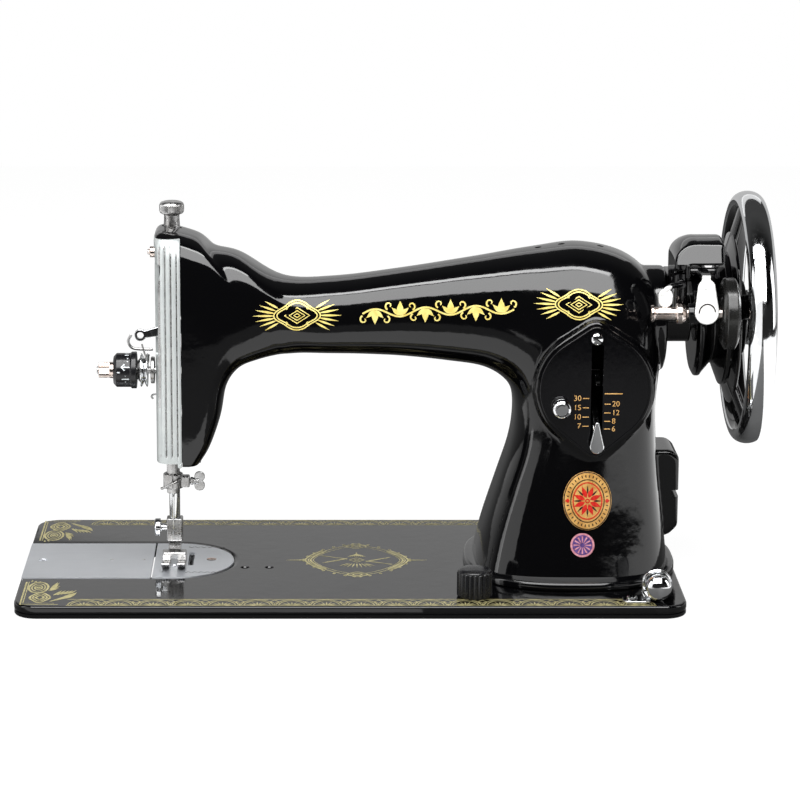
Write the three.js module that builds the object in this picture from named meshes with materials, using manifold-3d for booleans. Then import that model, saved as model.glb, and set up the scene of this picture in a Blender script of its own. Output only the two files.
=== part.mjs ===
// Full-size domestic lockstitch sewing machine head: a cast bed and arm, a wrapped face plate at the
// left end, a spoked hand wheel at the right end, and the oscillating-hook mechanism under the bed.
// Millimetres. X runs to the right along the bed, Y away from the person sewing, Z up.
// The origin is the centre of the bed's outline, on the flat underside of the bed's rim.
import * as THREE from 'three';
import { mergeVertices } from 'three/addons/utils/BufferGeometryUtils.js';
import Module from 'manifold-3d';

const wasm = await Module();
wasm.setup();

// ---------------------------------------------------------------- driving dimensions
const GAP = 0.3;                       // clearance between touching pieces
const BED = { length: 371, width: 178, top: 7.5, corner: 13, skin: 3.5, rim: 9 };
const PLATE = { front: -33, back: 36.5, joint: -112, tip: -66, thick: 1.6, ledge: 5 };
const FOOT = { from: 66, to: 186, depth: 62, top: 12.5 };
const FACE = { x: -94, bottom: 72, top: 199.4, sheet: 2 };
const WALL = 5;                        // wall of the arm casting
const NEEDLE = { x: -100, y: -10, radius: 3.6 };
const PRESSER = { x: -100, y: 6, radius: 3.1 };
const SHAFT = { z: 150.8, radius: 6.2 };
const CRANK = { throw: 16, pin: 3.5 };
const WHEEL = { radius: 71.3, left: 216.5, right: 232, spokes: 5 };
const TENSION = { y: -15, z: 123.6 };
const TAKE_UP = { x: -84, y: -21.2, z: 152, thick: 2.4 };
const REGULATOR = { x: 136, z: 118.4, radius: 31, front: -44.8, thick: 2.2 };
const LEVER = { x: 136.6, y: -8, z: 118 };
const HOOK = { y: -10, z: -14 };
const ROCK = { y: 8, z: -18, crank: 22 };
const FEED = { y: 52, front: -62, z: -16, arm: 14 };
const WINDER = { y: -60, z: 165.3, tyre: 19.5, pivotY: -34, pivotZ: 181 };
const LATCH = { y: -48, z: 186.4 };
const DROP = { x: 69, y: -69 };
const BOBBIN_TENSION = { x: 169, z: 16.8 };

// The arm casting is one bent loft from the head's bottom to the foot of the pillar. Each station has
// the point of its section on the inner side of the bend, the one on the outer side (both x, z), half
// the depth of the section and its squareness (2 is an ellipse, more is squarer).
const STATIONS = [
  { inner: [-84.5, 70], outer: [-109, 70], depth: 27.5, square: 5 },
  { inner: [-78.5, 80], outer: [-109, 90], depth: 28, square: 5 },
  { inner: [-72.6, 97], outer: [-109, 118], depth: 28, square: 5 },
  { inner: [-69.2, 114.4], outer: [-109, 155], depth: 28, square: 5 },
  { inner: [-62, 124.6], outer: [-109, 186], depth: 28, square: 4.8 },
  { inner: [-51, 129], outer: [-107.5, 201.8], depth: 27.5, square: 4.4 },
  { inner: [-40, 131.2], outer: [-87, 198.8], depth: 26.5, square: 3.6 },
  { inner: [-34, 131.6], outer: [-77, 191.4], depth: 26, square: 3.3 },
  { inner: [-26, 131.8], outer: [-62, 187.6], depth: 25.5, square: 3 },
  { inner: [-12, 131.4], outer: [-37.5, 174.2], depth: 24.5, square: 2.7 },
  { inner: [6, 131], outer: [-8, 173.9], depth: 24, square: 2.6 },
  { inner: [30, 129.8], outer: [30, 178.7], depth: 24.5, square: 2.6 },
  { inner: [55, 127.2], outer: [70, 185], depth: 27, square: 2.6 },
  { inner: [75, 124.2], outer: [104, 190.6], depth: 31, square: 2.7 },
  { inner: [87.5, 117], outer: [131, 193.2], depth: 35.5, square: 2.8 },
  { inner: [92.3, 107.5], outer: [158, 185.4], depth: 38.5, square: 3 },
  { inner: [93, 93], outer: [173.5, 166], depth: 40, square: 3.2 },
  { inner: [90.5, 77], outer: [175, 132], depth: 41, square: 3.2 },
  { inner: [83.8, 56], outer: [173, 101], depth: 42, square: 3.2 },
  { inner: [76.5, 33], outer: [175.5, 62], depth: 45, square: 3.2 },
  { inner: [71.8, 14], outer: [180, 26], depth: 49, square: 3.2 },
  { inner: [70.5, 8.1], outer: [181.6, 8.1], depth: 51, square: 3.2 },
];

// ---------------------------------------------------------------- finishes
const ENAMEL = { color: 0x0b0b0c, roughness: 0.15, metalness: 0.1 };
const CHROME = { color: 0xd9dbdd, roughness: 0.12, metalness: 1 };
const SATIN = { color: 0xbfc2c6, roughness: 0.35, metalness: 1 };
const STEEL = { color: 0x9a9c9f, roughness: 0.4, metalness: 1 };
const IRON = { color: 0x4a4b4d, roughness: 0.6, metalness: 0.8 };
const COPPER = { color: 0xc6967c, roughness: 0.3, metalness: 1 };
const BRASS = { color: 0xc2a052, roughness: 0.35, metalness: 1 };
const BLACK_PLASTIC = { color: 0x141516, roughness: 0.4, metalness: 0 };
const RUBBER = { color: 0x1a1a1a, roughness: 0.85, metalness: 0 };
const BADGE = { color: 0xb98a34, roughness: 0.35, metalness: 0.6 };

// ---------------------------------------------------------------- solids
// One closed surface with shared corners, no sliver triangles and its faces pointing out.
function weld(geometry) {
  const bare = new THREE.BufferGeometry();
  bare.setAttribute('position', geometry.getAttribute('position').clone());
  if (geometry.index) bare.setIndex(geometry.index.clone());
  const merged = mergeVertices(bare, 1e-4);
  const corners = merged.index.array;
  const kept = [];
  for (let i = 0; i < corners.length; i += 3) {
    const [a, b, c] = [corners[i], corners[i + 1], corners[i + 2]];
    if (a !== b && b !== c && c !== a) kept.push([a, b, c]);
  }
  const place = merged.getAttribute('position');
  const [p, q, r] = [new THREE.Vector3(), new THREE.Vector3(), new THREE.Vector3()];
  let volume = 0;
  for (const [a, b, c] of kept) {
    p.fromBufferAttribute(place, a);
    q.fromBufferAttribute(place, b);
    r.fromBufferAttribute(place, c);
    volume += p.dot(q.cross(r));
  }
  const faces = volume < 0 ? kept.map(([a, b, c]) => [a, c, b]) : kept;
  merged.setIndex(faces.flat());
  return merged;
}

function toSolid(geometry) {
  const closed = weld(geometry);
  return new wasm.Manifold(new wasm.Mesh({
    numProp: 3,
    vertProperties: new Float32Array(closed.getAttribute('position').array),
    triVerts: new Uint32Array(closed.index.array),
  }));
}

function combine(how, pieces) {
  const solids = pieces.map(toSolid);
  const result = solids.slice(1).reduce((whole, next) => whole[how](next), solids[0]).getMesh();
  const geometry = new THREE.BufferGeometry();
  geometry.setAttribute('position', new THREE.BufferAttribute(result.vertProperties, 3));
  geometry.setIndex(new THREE.BufferAttribute(result.triVerts, 1));
  return geometry;
}

const join = (...pieces) => combine('add', pieces);
const cut = (...pieces) => combine('subtract', pieces);
const common = (...pieces) => combine('intersect', pieces);

// ---------------------------------------------------------------- shapes
function block([x0, x1], [y0, y1], [z0, z1]) {
  const box = new THREE.BoxGeometry(x1 - x0, y1 - y0, z1 - z0);
  return box.translate((x0 + x1) / 2, (y0 + y1) / 2, (z0 + z1) / 2);
}

// Turns a shape made about the Y axis so that it stands along another axis, and moves it.
function aim(axis, geometry, [x, y, z]) {
  if (axis === 'x') geometry.rotateZ(-Math.PI / 2);
  if (axis === 'z') geometry.rotateX(Math.PI / 2);
  return geometry.translate(x, y, z);
}

// A body of revolution. Its profile is a list of [radius, distance along the axis].
function turned(axis, profile, at = [0, 0, 0], sides = 12) {
  const points = profile.map(([radius, along]) => new THREE.Vector2(radius, along));
  return aim(axis, new THREE.LatheGeometry(points, sides), at);
}

function rod(axis, [from, to], radius, at, sides) {
  return turned(axis, [[0, from], [radius, from], [radius, to], [0, to]], at, sides);
}

function ring(axis, [from, to], outer, inner, at, sides) {
  const profile = [[inner, from], [outer, from], [outer, to], [inner, to], [inner, from]];
  return turned(axis, profile, at, sides);
}

// A flat outline made thick: across Z from an x-y outline, across Y from x-z, across X from y-z.
function slab(axis, outline, [from, to], curveSegments = 5) {
  const options = { depth: to - from, bevelEnabled: false, curveSegments };
  const plate = new THREE.ExtrudeGeometry(outline, options);
  if (axis === 'z') return plate.translate(0, 0, from);
  if (axis === 'y') return plate.rotateX(Math.PI / 2).translate(0, to, 0);
  const turn = new THREE.Matrix4().makeBasis(
    new THREE.Vector3(0, 1, 0), new THREE.Vector3(0, 0, 1), new THREE.Vector3(1, 0, 0));
  return plate.applyMatrix4(turn).translate(from, 0, 0);
}

function polygon(...corners) {
  return new THREE.Shape(corners.map(([x, y]) => new THREE.Vector2(x, y)));
}

function circle(radius, x = 0, y = 0) {
  const shape = new THREE.Shape();
  shape.absarc(x, y, radius, 0, Math.PI * 2);
  return shape;
}

// A straight link seen from the side: two round ends and the tangents between them.
function link([x0, y0, r0], [x1, y1, r1]) {
  const span = Math.hypot(x1 - x0, y1 - y0);
  const heading = Math.atan2(y1 - y0, x1 - x0);
  const lean = Math.acos((r0 - r1) / span);
  const shape = new THREE.Shape();
  shape.absarc(x1, y1, r1, heading - lean, heading + lean);
  shape.absarc(x0, y0, r0, heading + lean, heading - lean + 2 * Math.PI);
  shape.closePath();
  return shape;
}

function roundedRectangle([x0, x1], [y0, y1], radius) {
  const quarter = Math.PI / 2;
  const shape = new THREE.Shape();
  shape.absarc(x1 - radius, y0 + radius, radius, -quarter, 0);
  shape.absarc(x1 - radius, y1 - radius, radius, 0, quarter);
  shape.absarc(x0 + radius, y1 - radius, radius, quarter, 2 * quarter);
  shape.absarc(x0 + radius, y0 + radius, radius, 2 * quarter, 3 * quarter);
  shape.closePath();
  return shape;
}

// A round bar along a smooth line through the given points.
function bar(points, radius, steps = 10, sides = 8) {
  const path = new THREE.CatmullRomCurve3(points.map((p) => new THREE.Vector3(...p)));
  const options = { steps, extrudePath: path, curveSegments: sides / 2 };
  return new THREE.ExtrudeGeometry(circle(radius), options);
}

// A knurled or fluted outline: a circle whose radius swings between two values.
function fluted(outer, inner, flutes) {
  const corners = [];
  for (let i = 0; i < flutes * 2; i += 1) {
    const angle = (i * Math.PI) / flutes;
    const radius = i % 2 ? inner : outer;
    corners.push([radius * Math.cos(angle), radius * Math.sin(angle)]);
  }
  return polygon(...corners);
}

// The skin over a row of closed sections with equal numbers of points, closed at both ends.
function loft(sections) {
  const count = sections[0].length;
  const points = sections.flat();
  const faces = [];
  for (let i = 0; i < sections.length - 1; i += 1) {
    for (let j = 0; j < count; j += 1) {
      const [a, b] = [i * count + j, i * count + ((j + 1) % count)];
      faces.push(a, b, b + count, a, b + count, a + count);
    }
  }
  for (const [start, flip] of [[0, false], [(sections.length - 1) * count, true]]) {
    for (let j = 1; j < count - 1; j += 1) {
      const [b, c] = [start + j, start + j + 1];
      faces.push(...(flip ? [start, b, c] : [start, c, b]));
    }
  }
  const geometry = new THREE.BufferGeometry();
  geometry.setFromPoints(points);
  geometry.setIndex(faces);
  return geometry;
}

// A superellipse between an inner and an outer point in the x-z plane.
function section({ inner, outer, depth, square }, inset = 0, count = 22) {
  const [dx, dz] = [outer[0] - inner[0], outer[1] - inner[1]];
  const span = Math.hypot(dx, dz);
  const half = span / 2 - inset;
  const bend = (value) => Math.sign(value) * Math.abs(value) ** (2 / square);
  const points = [];
  for (let i = 0; i < count; i += 1) {
    const angle = (i * 2 * Math.PI) / count;
    const along = (bend(Math.cos(angle)) * half) / span;
    const x = (inner[0] + outer[0]) / 2 + dx * along;
    const z = (inner[1] + outer[1]) / 2 + dz * along;
    points.push(new THREE.Vector3(x, bend(Math.sin(angle)) * (depth - inset), z));
  }
  return points;
}

// ---------------------------------------------------------------- bed
// The outline that the slide plate and the needle plate fill: open at the left, half oval at the right.
function plateOutline(grow, from) {
  const middle = (PLATE.front + PLATE.back) / 2;
  const half = (PLATE.back - PLATE.front) / 2 + grow;
  const shape = new THREE.Shape();
  const centre = PLATE.tip - (half - grow);
  shape.moveTo(from, middle - half);
  shape.lineTo(centre, middle - half);
  shape.absarc(centre, middle, half, -Math.PI / 2, Math.PI / 2);
  shape.lineTo(from, middle + half);
  shape.closePath();
  return shape;
}

function bed() {
  const [halfLength, halfWidth] = [BED.length / 2, BED.width / 2];
  const edge = (inset) => roundedRectangle(
    [-halfLength + inset, halfLength - inset], [-halfWidth + inset, halfWidth - inset],
    BED.corner - inset / 2);
  const hollow = slab('z', edge(BED.rim), [-1, BED.skin], 4);
  const ribs = [
    block([-12, 12], [-84, 84], [0, BED.skin + 0.5]),
    block([-182, -54], [-44, -38], [0, BED.skin + 0.5]),
    block([-182, -54], [42, 48], [0, BED.skin + 0.5]),
    block([-60, -54], [-44, 48], [0, BED.skin + 0.5]),
  ];
  const hingeLug = (x) => block([x - 11, x + 11], [64, 88.4], [-9, BED.skin + 0.5]);
  const hingeBore = (x) => rod('y', [60, 95], 4.75, [x, 0, -3], 12);
  // A lug under the bed, bored for one of the shafts that run along it.
  const hanger = (x, y, z, radius) => cut(
    block([x - 6, x + 6], [y - radius - 3.5, y + radius + 3.5], [z - radius - 3.5, BED.skin + 0.5]),
    rod('x', [x - 9, x + 9], radius + GAP, [0, y, z], 14));
  const hangers = [
    hanger(-30, ROCK.y, ROCK.z, 5), hanger(80, ROCK.y, ROCK.z, 5),
    hanger(-70, FEED.y, FEED.z, 4.4), hanger(86, FEED.y, FEED.z, 4.4),
    hanger(-70, FEED.front, FEED.z, 4.4), hanger(86, FEED.front, FEED.z, 4.4),
    hanger(-77, HOOK.y, HOOK.z, 4),
  ];
  const opening = slab('z', plateOutline(-6, -178), [-1, 9], 6);
  const recess = slab('z', plateOutline(GAP, -200), [BED.top - PLATE.thick - GAP, 9], 10);
  return cut(
    join(cut(slab('z', edge(0), [0, BED.top], 6), hollow), ...ribs, ...hangers,
      hingeLug(-108), hingeLug(108)),
    opening, recess, hingeBore(-108), hingeBore(108),
    block([-101, -83.5], [-66, 66], [-30, 3]),
    block([98, 150], [-34, 34], [-1, 9]),
    rod('z', [-1, 9], 3.4, [DROP.x, DROP.y, 0], 12),
    rod('z', [3, 9], 2.6, [-59.4, -13.3, 0], 10),
    rod('z', [3, 9], 2.6, [-45.5, -13.3, 0], 10));
}

function slidePlate() {
  const outline = roundedRectangle(
    [-BED.length / 2, PLATE.joint - GAP], [PLATE.front, PLATE.back], 0.6);
  return cut(slab('z', outline, [BED.top - PLATE.thick, BED.top], 2),
    rod('z', [4, 9], 2.4, [-176, 1.6, 0], 10));
}

function needlePlate() {
  const blank = slab('z', plateOutline(0, PLATE.joint), [BED.top - PLATE.thick, BED.top], 10);
  const slots = [-106.5, -97.2, -92.2].map((x) => block([x, x + 3.2], [-9, 17], [4, 9]));
  return cut(blank, ...slots, rod('z', [4, 9], 1.5, [NEEDLE.x, NEEDLE.y, 0], 8),
    turned('z', [[0, 4], [1.6, 4], [1.6, 6.4], [3.3, 7.6], [3.3, 9], [0, 9]], [-79, 3.6, 0], 10));
}

// ---------------------------------------------------------------- arm casting
// The sections of the bent loft, with extra ones between the stations.
function armSections(inset, between = 1) {
  const curve = (pick) => new THREE.CatmullRomCurve3(
    STATIONS.map((s) => new THREE.Vector3(...pick(s))), false, 'catmullrom', 0.5);
  const inner = curve((s) => [s.inner[0], 0, s.inner[1]]);
  const outer = curve((s) => [s.outer[0], 0, s.outer[1]]);
  const form = curve((s) => [s.depth, s.square, 0]);
  const last = (STATIONS.length - 1) * between;
  const sections = [];
  for (let i = 0; i <= last; i += 1) {
    const [p, q, f] = [inner, outer, form].map((c) => c.getPoint(i / last));
    const station = { inner: [p.x, p.z], outer: [q.x, q.z], depth: f.x, square: f.y };
    sections.push(section(station, inset));
  }
  return sections;
}

// The space inside the casting, carried on through the open foot.
function armHollow(wall, through) {
  const sections = armSections(wall);
  const moved = (ring, drop) => ring.map((p) => new THREE.Vector3(p.x, p.y, p.z - drop));
  const below = moved(sections.at(-1), 12);
  const under = moved(sections[0], through);
  return loft([under, ...sections.slice(1), below]);
}

function regulatorOutline(grow) {
  const [top, bottom] = [{ z: 29.5, radius: 6.5 + grow }, { z: -30, radius: 8 + grow }];
  const radius = REGULATOR.radius + grow;
  const lean = (lobe) => Math.acos((radius - lobe.radius) / Math.abs(lobe.z));
  const [up, down] = [Math.PI / 2, -Math.PI / 2];
  const [x, z] = [REGULATOR.x, REGULATOR.z];
  const shape = new THREE.Shape();
  shape.absarc(x, z + top.z, top.radius, up - lean(top), up + lean(top));
  shape.absarc(x, z, radius, up + lean(top), down - lean(bottom) + 2 * Math.PI);
  shape.absarc(x, z + bottom.z, bottom.radius, down - lean(bottom), down + lean(bottom));
  shape.absarc(x, z, radius, down + lean(bottom), up - lean(top));
  shape.closePath();
  return shape;
}

function armFoot() {
  const level = (z, inset) => section({
    inner: [FOOT.from + inset, z], outer: [FOOT.to - inset, z],
    depth: FOOT.depth - inset, square: 2.5 });
  return loft([level(BED.top + GAP, 0), level(FOOT.top - 1.2, 0), level(FOOT.top, 1.6)]);
}

// The rear pad that a motor bracket bolts to, with its flat face to the right.
function motorBoss() {
  const outline = polygon([150, 72], [185, 72], [189.5, 68], [189.5, 27], [184, 21.5], [150, 21.5]);
  return slab('y', outline, [4, 38]);
}

function armCasting() {
  const outside = loft(armSections(0));
  const hollow = common(armHollow(WALL, 0), block([-108, 200], [-60, 60], [76, 230]));
  const shaftWell = common(armHollow(WALL, 0), block([60, 200], [-60, 60], [-10, 77]));
  const wall = (from, to) => common(loft(armSections(1.5)), block([from, to], [-40, 40], [125, 200]));
  // A guide for the two bars, standing out from the head into the face plate.
  const lug = (z) => join(block([-105.6, -95], [NEEDLE.y - 6, 15], z), block([-97, -92], [14, 24], z));
  const shell = join(
    cut(outside, hollow, shaftWell, block([-120, FACE.x], [-40, 40], [0, FACE.top])),
    wall(-62, -50),
    lug([70, 78.5]),
    block([-96, -84], [NEEDLE.y - 6, 24], [70, 78.5]),
    lug([152, 160]),
    block([-93, -86], [20.4, 24], [152, 160]),
    rod('x', [154, 177], 29.5, [0, 0, SHAFT.z], 32),
    slab('y', regulatorOutline(2.6), [REGULATOR.front + REGULATOR.thick + GAP, -30], 6),
    rod('y', [30, 43.5], 29, [REGULATOR.x, 0, 104], 24),
    rod('y', [-27, -23], 4.6, [TAKE_UP.x, 0, TAKE_UP.z], 12),
    cut(armFoot(), shaftWell), motorBoss());
  return cut(
    shell,
    rod('x', [-70, -40], 9.8, [0, 0, SHAFT.z], 16),
    rod('x', [150, 200], 13.9, [0, 0, SHAFT.z], 20),
    rod('z', [60, 165], NEEDLE.radius + GAP, [NEEDLE.x, NEEDLE.y, 0], 12),
    rod('z', [60, 165], PRESSER.radius + GAP, [PRESSER.x, PRESSER.y, 0], 12),
    rod('z', [190, 210], 5.6, [PRESSER.x, PRESSER.y, 0], 12),
    block([132.8, 140.6], [-60, -30], [89, 145]),
    rod('y', [-60, -36], 1.9, [REGULATOR.x, 0, REGULATOR.z + 29.6], 8),
    rod('y', [-60, -36], 2.4, [REGULATOR.x - 19, 0, REGULATOR.z - 9.4], 8),
    rod('y', [36, 50], 22, [REGULATOR.x, 0, 104], 20),
    rod('x', [170, 200], 3, [0, 21, 56], 10),
    block([185, 195], [0, 40], [44.5, 48.5]));
}

function facePlate() {
  const outside = common(loft(armSections(0)), block(
    [-120, FACE.x - GAP], [-40, 40], [FACE.bottom, FACE.top - GAP]));
  return cut(
    outside,
    armHollow(FACE.sheet, 20),
    block([-115, -100], [TAKE_UP.y - 2.2, TAKE_UP.y + 2.2], [133, 186]),
    block([-104.6, -95.4], [22, 32], [84, 152]),
    rod('x', [-115, -100], 3.3, [0, TENSION.y, TENSION.z], 12),
    rod('x', [-115, -100], 1.7, [0, 4, 187.6], 10),
    rod('x', [-115, -100], 1.7, [0, 4, 80], 10),
    rod('z', [150, 200], 6, [PRESSER.x, PRESSER.y, 0], 12));
}

// A flat round cover over the access hole in the back of the pillar.
function rearCover() {
  const disc = rod('y', [43.8, 45.6], 27.5, [REGULATOR.x, 0, 104], 24);
  return cut(disc, rod('y', [40, 50], 2, [REGULATOR.x, 0, 104], 8));
}

function regulatorPlate() {
  const blank = slab('y', regulatorOutline(0), [REGULATOR.front, REGULATOR.front + REGULATOR.thick], 8);
  return cut(
    blank,
    block([133.4, 140], [-50, -40], [89.6, 144.2]),
    rod('y', [-50, -40], 1.8, [REGULATOR.x, 0, REGULATOR.z + 29.6], 8),
    rod('y', [-50, -40], 2.3, [117, 0, 109], 10));
}

// A round-headed screw along -Y: the head stands proud of y = 0 and the shank goes in.
function frontScrew(head, shank, length, proud) {
  const profile = [[0, -proud], [head * 0.72, -proud], [head, -proud * 0.45], [head, 0],
    [shank, 0], [shank, length], [0, length]];
  return cut(turned('y', profile, [0, 0, 0], 14), block([-head, head], [-proud - 1, -proud + 0.7], [-0.4, 0.4]));
}

function stitchLever() {
  const arm = slab('x', link([0, 0, 5], [-40.5, -24.3, 2.2]), [-2, 2]);
  const eye = rod('x', [-5, 5], 5.4, [0, 0, 0], 14);
  const tip = slab('y', link([0, -29.8, 4], [0, -17, 1.2]), [-44.6, -42]);
  return cut(join(arm, eye, tip), rod('x', [-8, 8], 2.6, [0, 0, 0], 10));
}

// ---------------------------------------------------------------- arm shaft and hand wheel
// The shaft with the two pieces pinned on it: the grooved take-up cam and the rock shaft's eccentric.
function armShaft() {
  const camProfile = [[0, -73.4], [16, -73.4], [16, -69.4], [13.5, -69.4], [13.5, -66.4],
    [16, -66.4], [16, -63], [0, -63]];
  return join(rod('x', [-78, 225.6], SHAFT.radius, [0, 0, 0], 14),
    rod('x', [225, 231], 4, [0, 0, 0], 12),
    turned('x', camProfile, [0, 0, 0], 20),
    rod('x', [119, 131], 10, [0, 3, 0], 18));
}

// Disc with a counterweight below and the needle-bar pin above.
function crank() {
  const disc = rod('x', [-84, -78.3], 12, [0, 0, 0], 20);
  const cheek = slab('x', link([0, 0, 9], [0, CRANK.throw, 3.4]), [-84, -78.3]);
  const weight = common(rod('x', [-84, -74], 19, [0, 0, 0], 16),
    block([-90, -70], [-20, 20], [-20, -7]));
  const pin = rod('x', [-91.4, -83], CRANK.pin, [0, 0, CRANK.throw], 12);
  return join(disc, cheek, weight, pin);
}

function handWheel() {
  const hubProfile = [[7.2, 193], [30, 193], [33, 194.6], [33, 197], [25.5, 203], [26, 204.4],
    [38, 209], [38, 213], [35, 214.6], [21, 215.4], [21, 222], [7.2, 222], [7.2, 193]];
  const hub = turned('x', hubProfile, [0, 0, 0], 22);
  const middle = (WHEEL.left + WHEEL.right) / 2;
  const rimProfile = [];
  const corners = 10;
  for (let i = 0; i <= corners; i += 1) {
    const angle = (i * 2 * Math.PI) / corners;
    rimProfile.push([WHEEL.radius - 5.4 + 5.4 * Math.sin(angle),
      middle + ((WHEEL.right - WHEEL.left) / 2) * Math.cos(angle)]);
  }
  const rim = turned('x', rimProfile, [0, 0, 0], 30);
  const spokes = Array.from({ length: WHEEL.spokes }, (_, i) => {
    const spoke = bar([[210.5, 0, 26], [213.5, 0, 38], [217, 0, 50], [220.5, 0, 63]], 4.2, 4, 8);
    spoke.translate(-215, 0, 0).scale(0.8, 1.7, 1).translate(215, 0, 0);
    return spoke.rotateX((i * 2 * Math.PI) / WHEEL.spokes);
  });
  return join(hub, rim, ...spokes);
}

function clutchWasher() {
  return ring('x', [222.3, 223.8], 12.5, 6.6, [0, 0, 0], 14);
}

// The big knurled screw that locks the wheel to the shaft.
function stopMotionScrew() {
  const knob = slab('x', fluted(18.5, 17.6, 16), [226.6, 234]);
  const face = turned('x', [[0, 233], [16.5, 233], [16, 236], [12, 237.6], [0, 238]], [0, 0, 0], 16);
  const skirt = rod('x', [224.1, 227], 15.5, [0, 0, 0], 16);
  return cut(join(knob, face, skirt), rod('x', [220, 226], SHAFT.radius + 0.6, [0, 0, 0], 16),
    rod('x', [220, 231.6], 4.4, [0, 0, 0], 12));
}

// ---------------------------------------------------------------- needle bar
const STROKE_LINK = { collar: 112, eye: 166.8 };

function needleBarLink() {
  const shape = link([0, STROKE_LINK.collar + 4, 5], [10, STROKE_LINK.eye, 6.4]);
  const strap = slab('x', shape, [5.5, 8]);
  return cut(strap, rod('x', [4, 9], 3.8, [0, 10, STROKE_LINK.eye], 12),
    rod('x', [4, 9], 2.4, [0, 0, STROKE_LINK.collar + 4], 10));
}

function needleBarCollar() {
  const body = join(rod('z', [112, 120], 5.6, [0, 0, 0], 14),
    rod('x', [3, 5.2], 4, [0, 0, STROKE_LINK.collar + 4], 12),
    rod('x', [3, 8], 2.1, [0, 0, STROKE_LINK.collar + 4], 10));
  return cut(body, rod('z', [100, 130], NEEDLE.radius + GAP, [0, 0, 0], 12));
}

function needleClamp() {
  const body = join(rod('z', [54, 62.4], 5.6, [0, 0, 0], 14), block([3, 9.4], [-3, 3], [54.6, 61]));
  return cut(body, rod('z', [50, 70], NEEDLE.radius + GAP, [0, 0, 0], 12),
    rod('x', [2, 12], 1.7, [0, 0, 57.8], 10));
}

function needleBar() {
  return cut(rod('z', [51, 192], NEEDLE.radius, [0, 0, 0], 14), rod('z', [40, 63.5], 1.3, [0, 0, 0], 8));
}

function needle() {
  return turned('z', [[0, 24.6], [0.42, 28], [0.42, 48], [1, 50.5], [1, 63], [0, 63]], [0, 0, 0], 8);
}

function clampScrew() {
  const wing = (z) => slab('y', circle(3, 15, z), [-0.9, 0.9], 6);
  const stem = rod('x', [4.6, 14], 1.4, [0, 0, 0], 8);
  return join(stem, wing(2.6), wing(-2.6), rod('x', [9.8, 11.4], 2.2, [0, 0, 0], 10));
}

// ---------------------------------------------------------------- presser bar
function presserBar() {
  return rod('z', [19, 178], PRESSER.radius, [0, 0, 0], 12);
}

function presserBracket() {
  const body = join(rod('z', [121, 130], 5.6, [0, 0, 0], 12), block([-4, 4], [3, 12], [124, 130]));
  return cut(body, rod('z', [110, 140], PRESSER.radius + GAP, [0, 0, 0], 12));
}

function presserSpring() {
  return ring('z', [160.4, 188], 5, 3.6, [0, 0, 0], 12);
}

function pressureScrew() {
  const body = turned('z', [[0, 190.4], [5.2, 190.4], [5.2, 209], [6.6, 209.4], [7, 211], [7, 214.6],
    [5.8, 216.4], [0, 216.4]], [0, 0, 0], 20);
  return cut(body, rod('z', [180, 200], 3.6, [0, 0, 0], 10));
}

function presserFoot() {
  const clamp = block([-7, 4.6], [-4.2, 4.6], [20, 32]);
  const shank = slab('x', polygon([3.8, 21], [3.8, 30], [4.5, 31], [4.6, 20], [-6, 12.5],
    [-8.4, 12.5], [-8.4, 13.6], [-5, 14.4]), [-3.6, 3.6]);
  const sole = (x) => slab('x', polygon([-4, 7.8], [-22, 7.8], [-31, 12.4], [-30.4, 13.3],
    [-21.6, 9.4], [-14, 9.4], [-9, 14], [-4, 14]), x);
  const bridge = block([-6.8, 6.8], [-11, -4.6], [10, 13.9]);
  return cut(join(clamp, shank, bridge, sole([-6.8, -2.1]), sole([2.1, 6.8])),
    rod('z', [18.7, 40], PRESSER.radius + GAP, [0, 0, 0], 12),
    block([-9, -2.6], [-1.2, 1.2], [18.7, 40]),
    rod('x', [-9, -3], 2.1, [0, 0, 26], 10));
}

function footScrew() {
  const profile = [[0, -11.6], [4.6, -11.6], [5.2, -10.8], [5.2, -8.4], [2.6, -8.1], [2.6, -7.4],
    [1.8, -7.4], [1.8, -3.6], [0, -3.6]];
  return turned('x', profile, [0, 0, 26], 16);
}

// The lever behind the head that lifts the presser bar, drawn about its own hinge.
function presserLifter() {
  const cam = slab('x', link([0, 0, 5], [8.7, 1.5, 3.3]), [-3, 3]);
  const handle = bar([[0, 2, -1], [0, 14, -4], [0, 23, -9], [0, 28.5, -20], [0, 29.5, -30]], 3, 8, 8);
  const pad = bar([[0, 29.5, -29], [0, 30, -36]], 4, 2, 8);
  return cut(join(cam, handle, pad), rod('x', [-5, 5], 2.3, [0, 0, 0], 10));
}

// ---------------------------------------------------------------- take-up and tension
// Drawn about its own hinge: the long arm ends in the thread eye, the short one ran in the cam.
function takeUpLever() {
  const half = TAKE_UP.thick / 2;
  const long = slab('y', link([0, 0, 4.6], [-30, -6.4, 2.1]), [-half, half]);
  const eye = slab('y', circle(3.4, -33, -7), [-half, half], 6);
  const short = slab('y', link([0, 0, 4.6], [7, -11, 2.8]), [-half, half]);
  return cut(join(long, eye, short), rod('y', [-3, 3], 1.9, [-33, 0, -7], 10),
    rod('y', [-3, 3], 2.5, [0, 0, 0], 10));
}

function tensionStud() {
  return join(rod('x', [-142, -106], 2, [0, 0, 0], 10), rod('x', [-111.6, -109.5], 7.6, [0, 0, 0], 16));
}

function tensionDisc(face, lean) {
  const profile = [[2.4, face], [7, face], [9.4, face - lean], [9.4, face - lean - 0.7 * Math.sign(lean)],
    [7, face - 0.9 * Math.sign(lean)], [2.4, face - 0.9 * Math.sign(lean)], [2.4, face]];
  return turned('x', profile, [0, 0, 0], 14);
}

function tensionDial() {
  return cut(join(rod('x', [-132.6, -119.6], 9.6, [0, 0, 0], 16), rod('x', [-122.6, -119.6], 10.4, [0, 0, 0], 16)),
    rod('x', [-140, -129], 5, [0, 0, 0], 16), rod('x', [-130, -110], 2.4, [0, 0, 0], 12));
}

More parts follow.
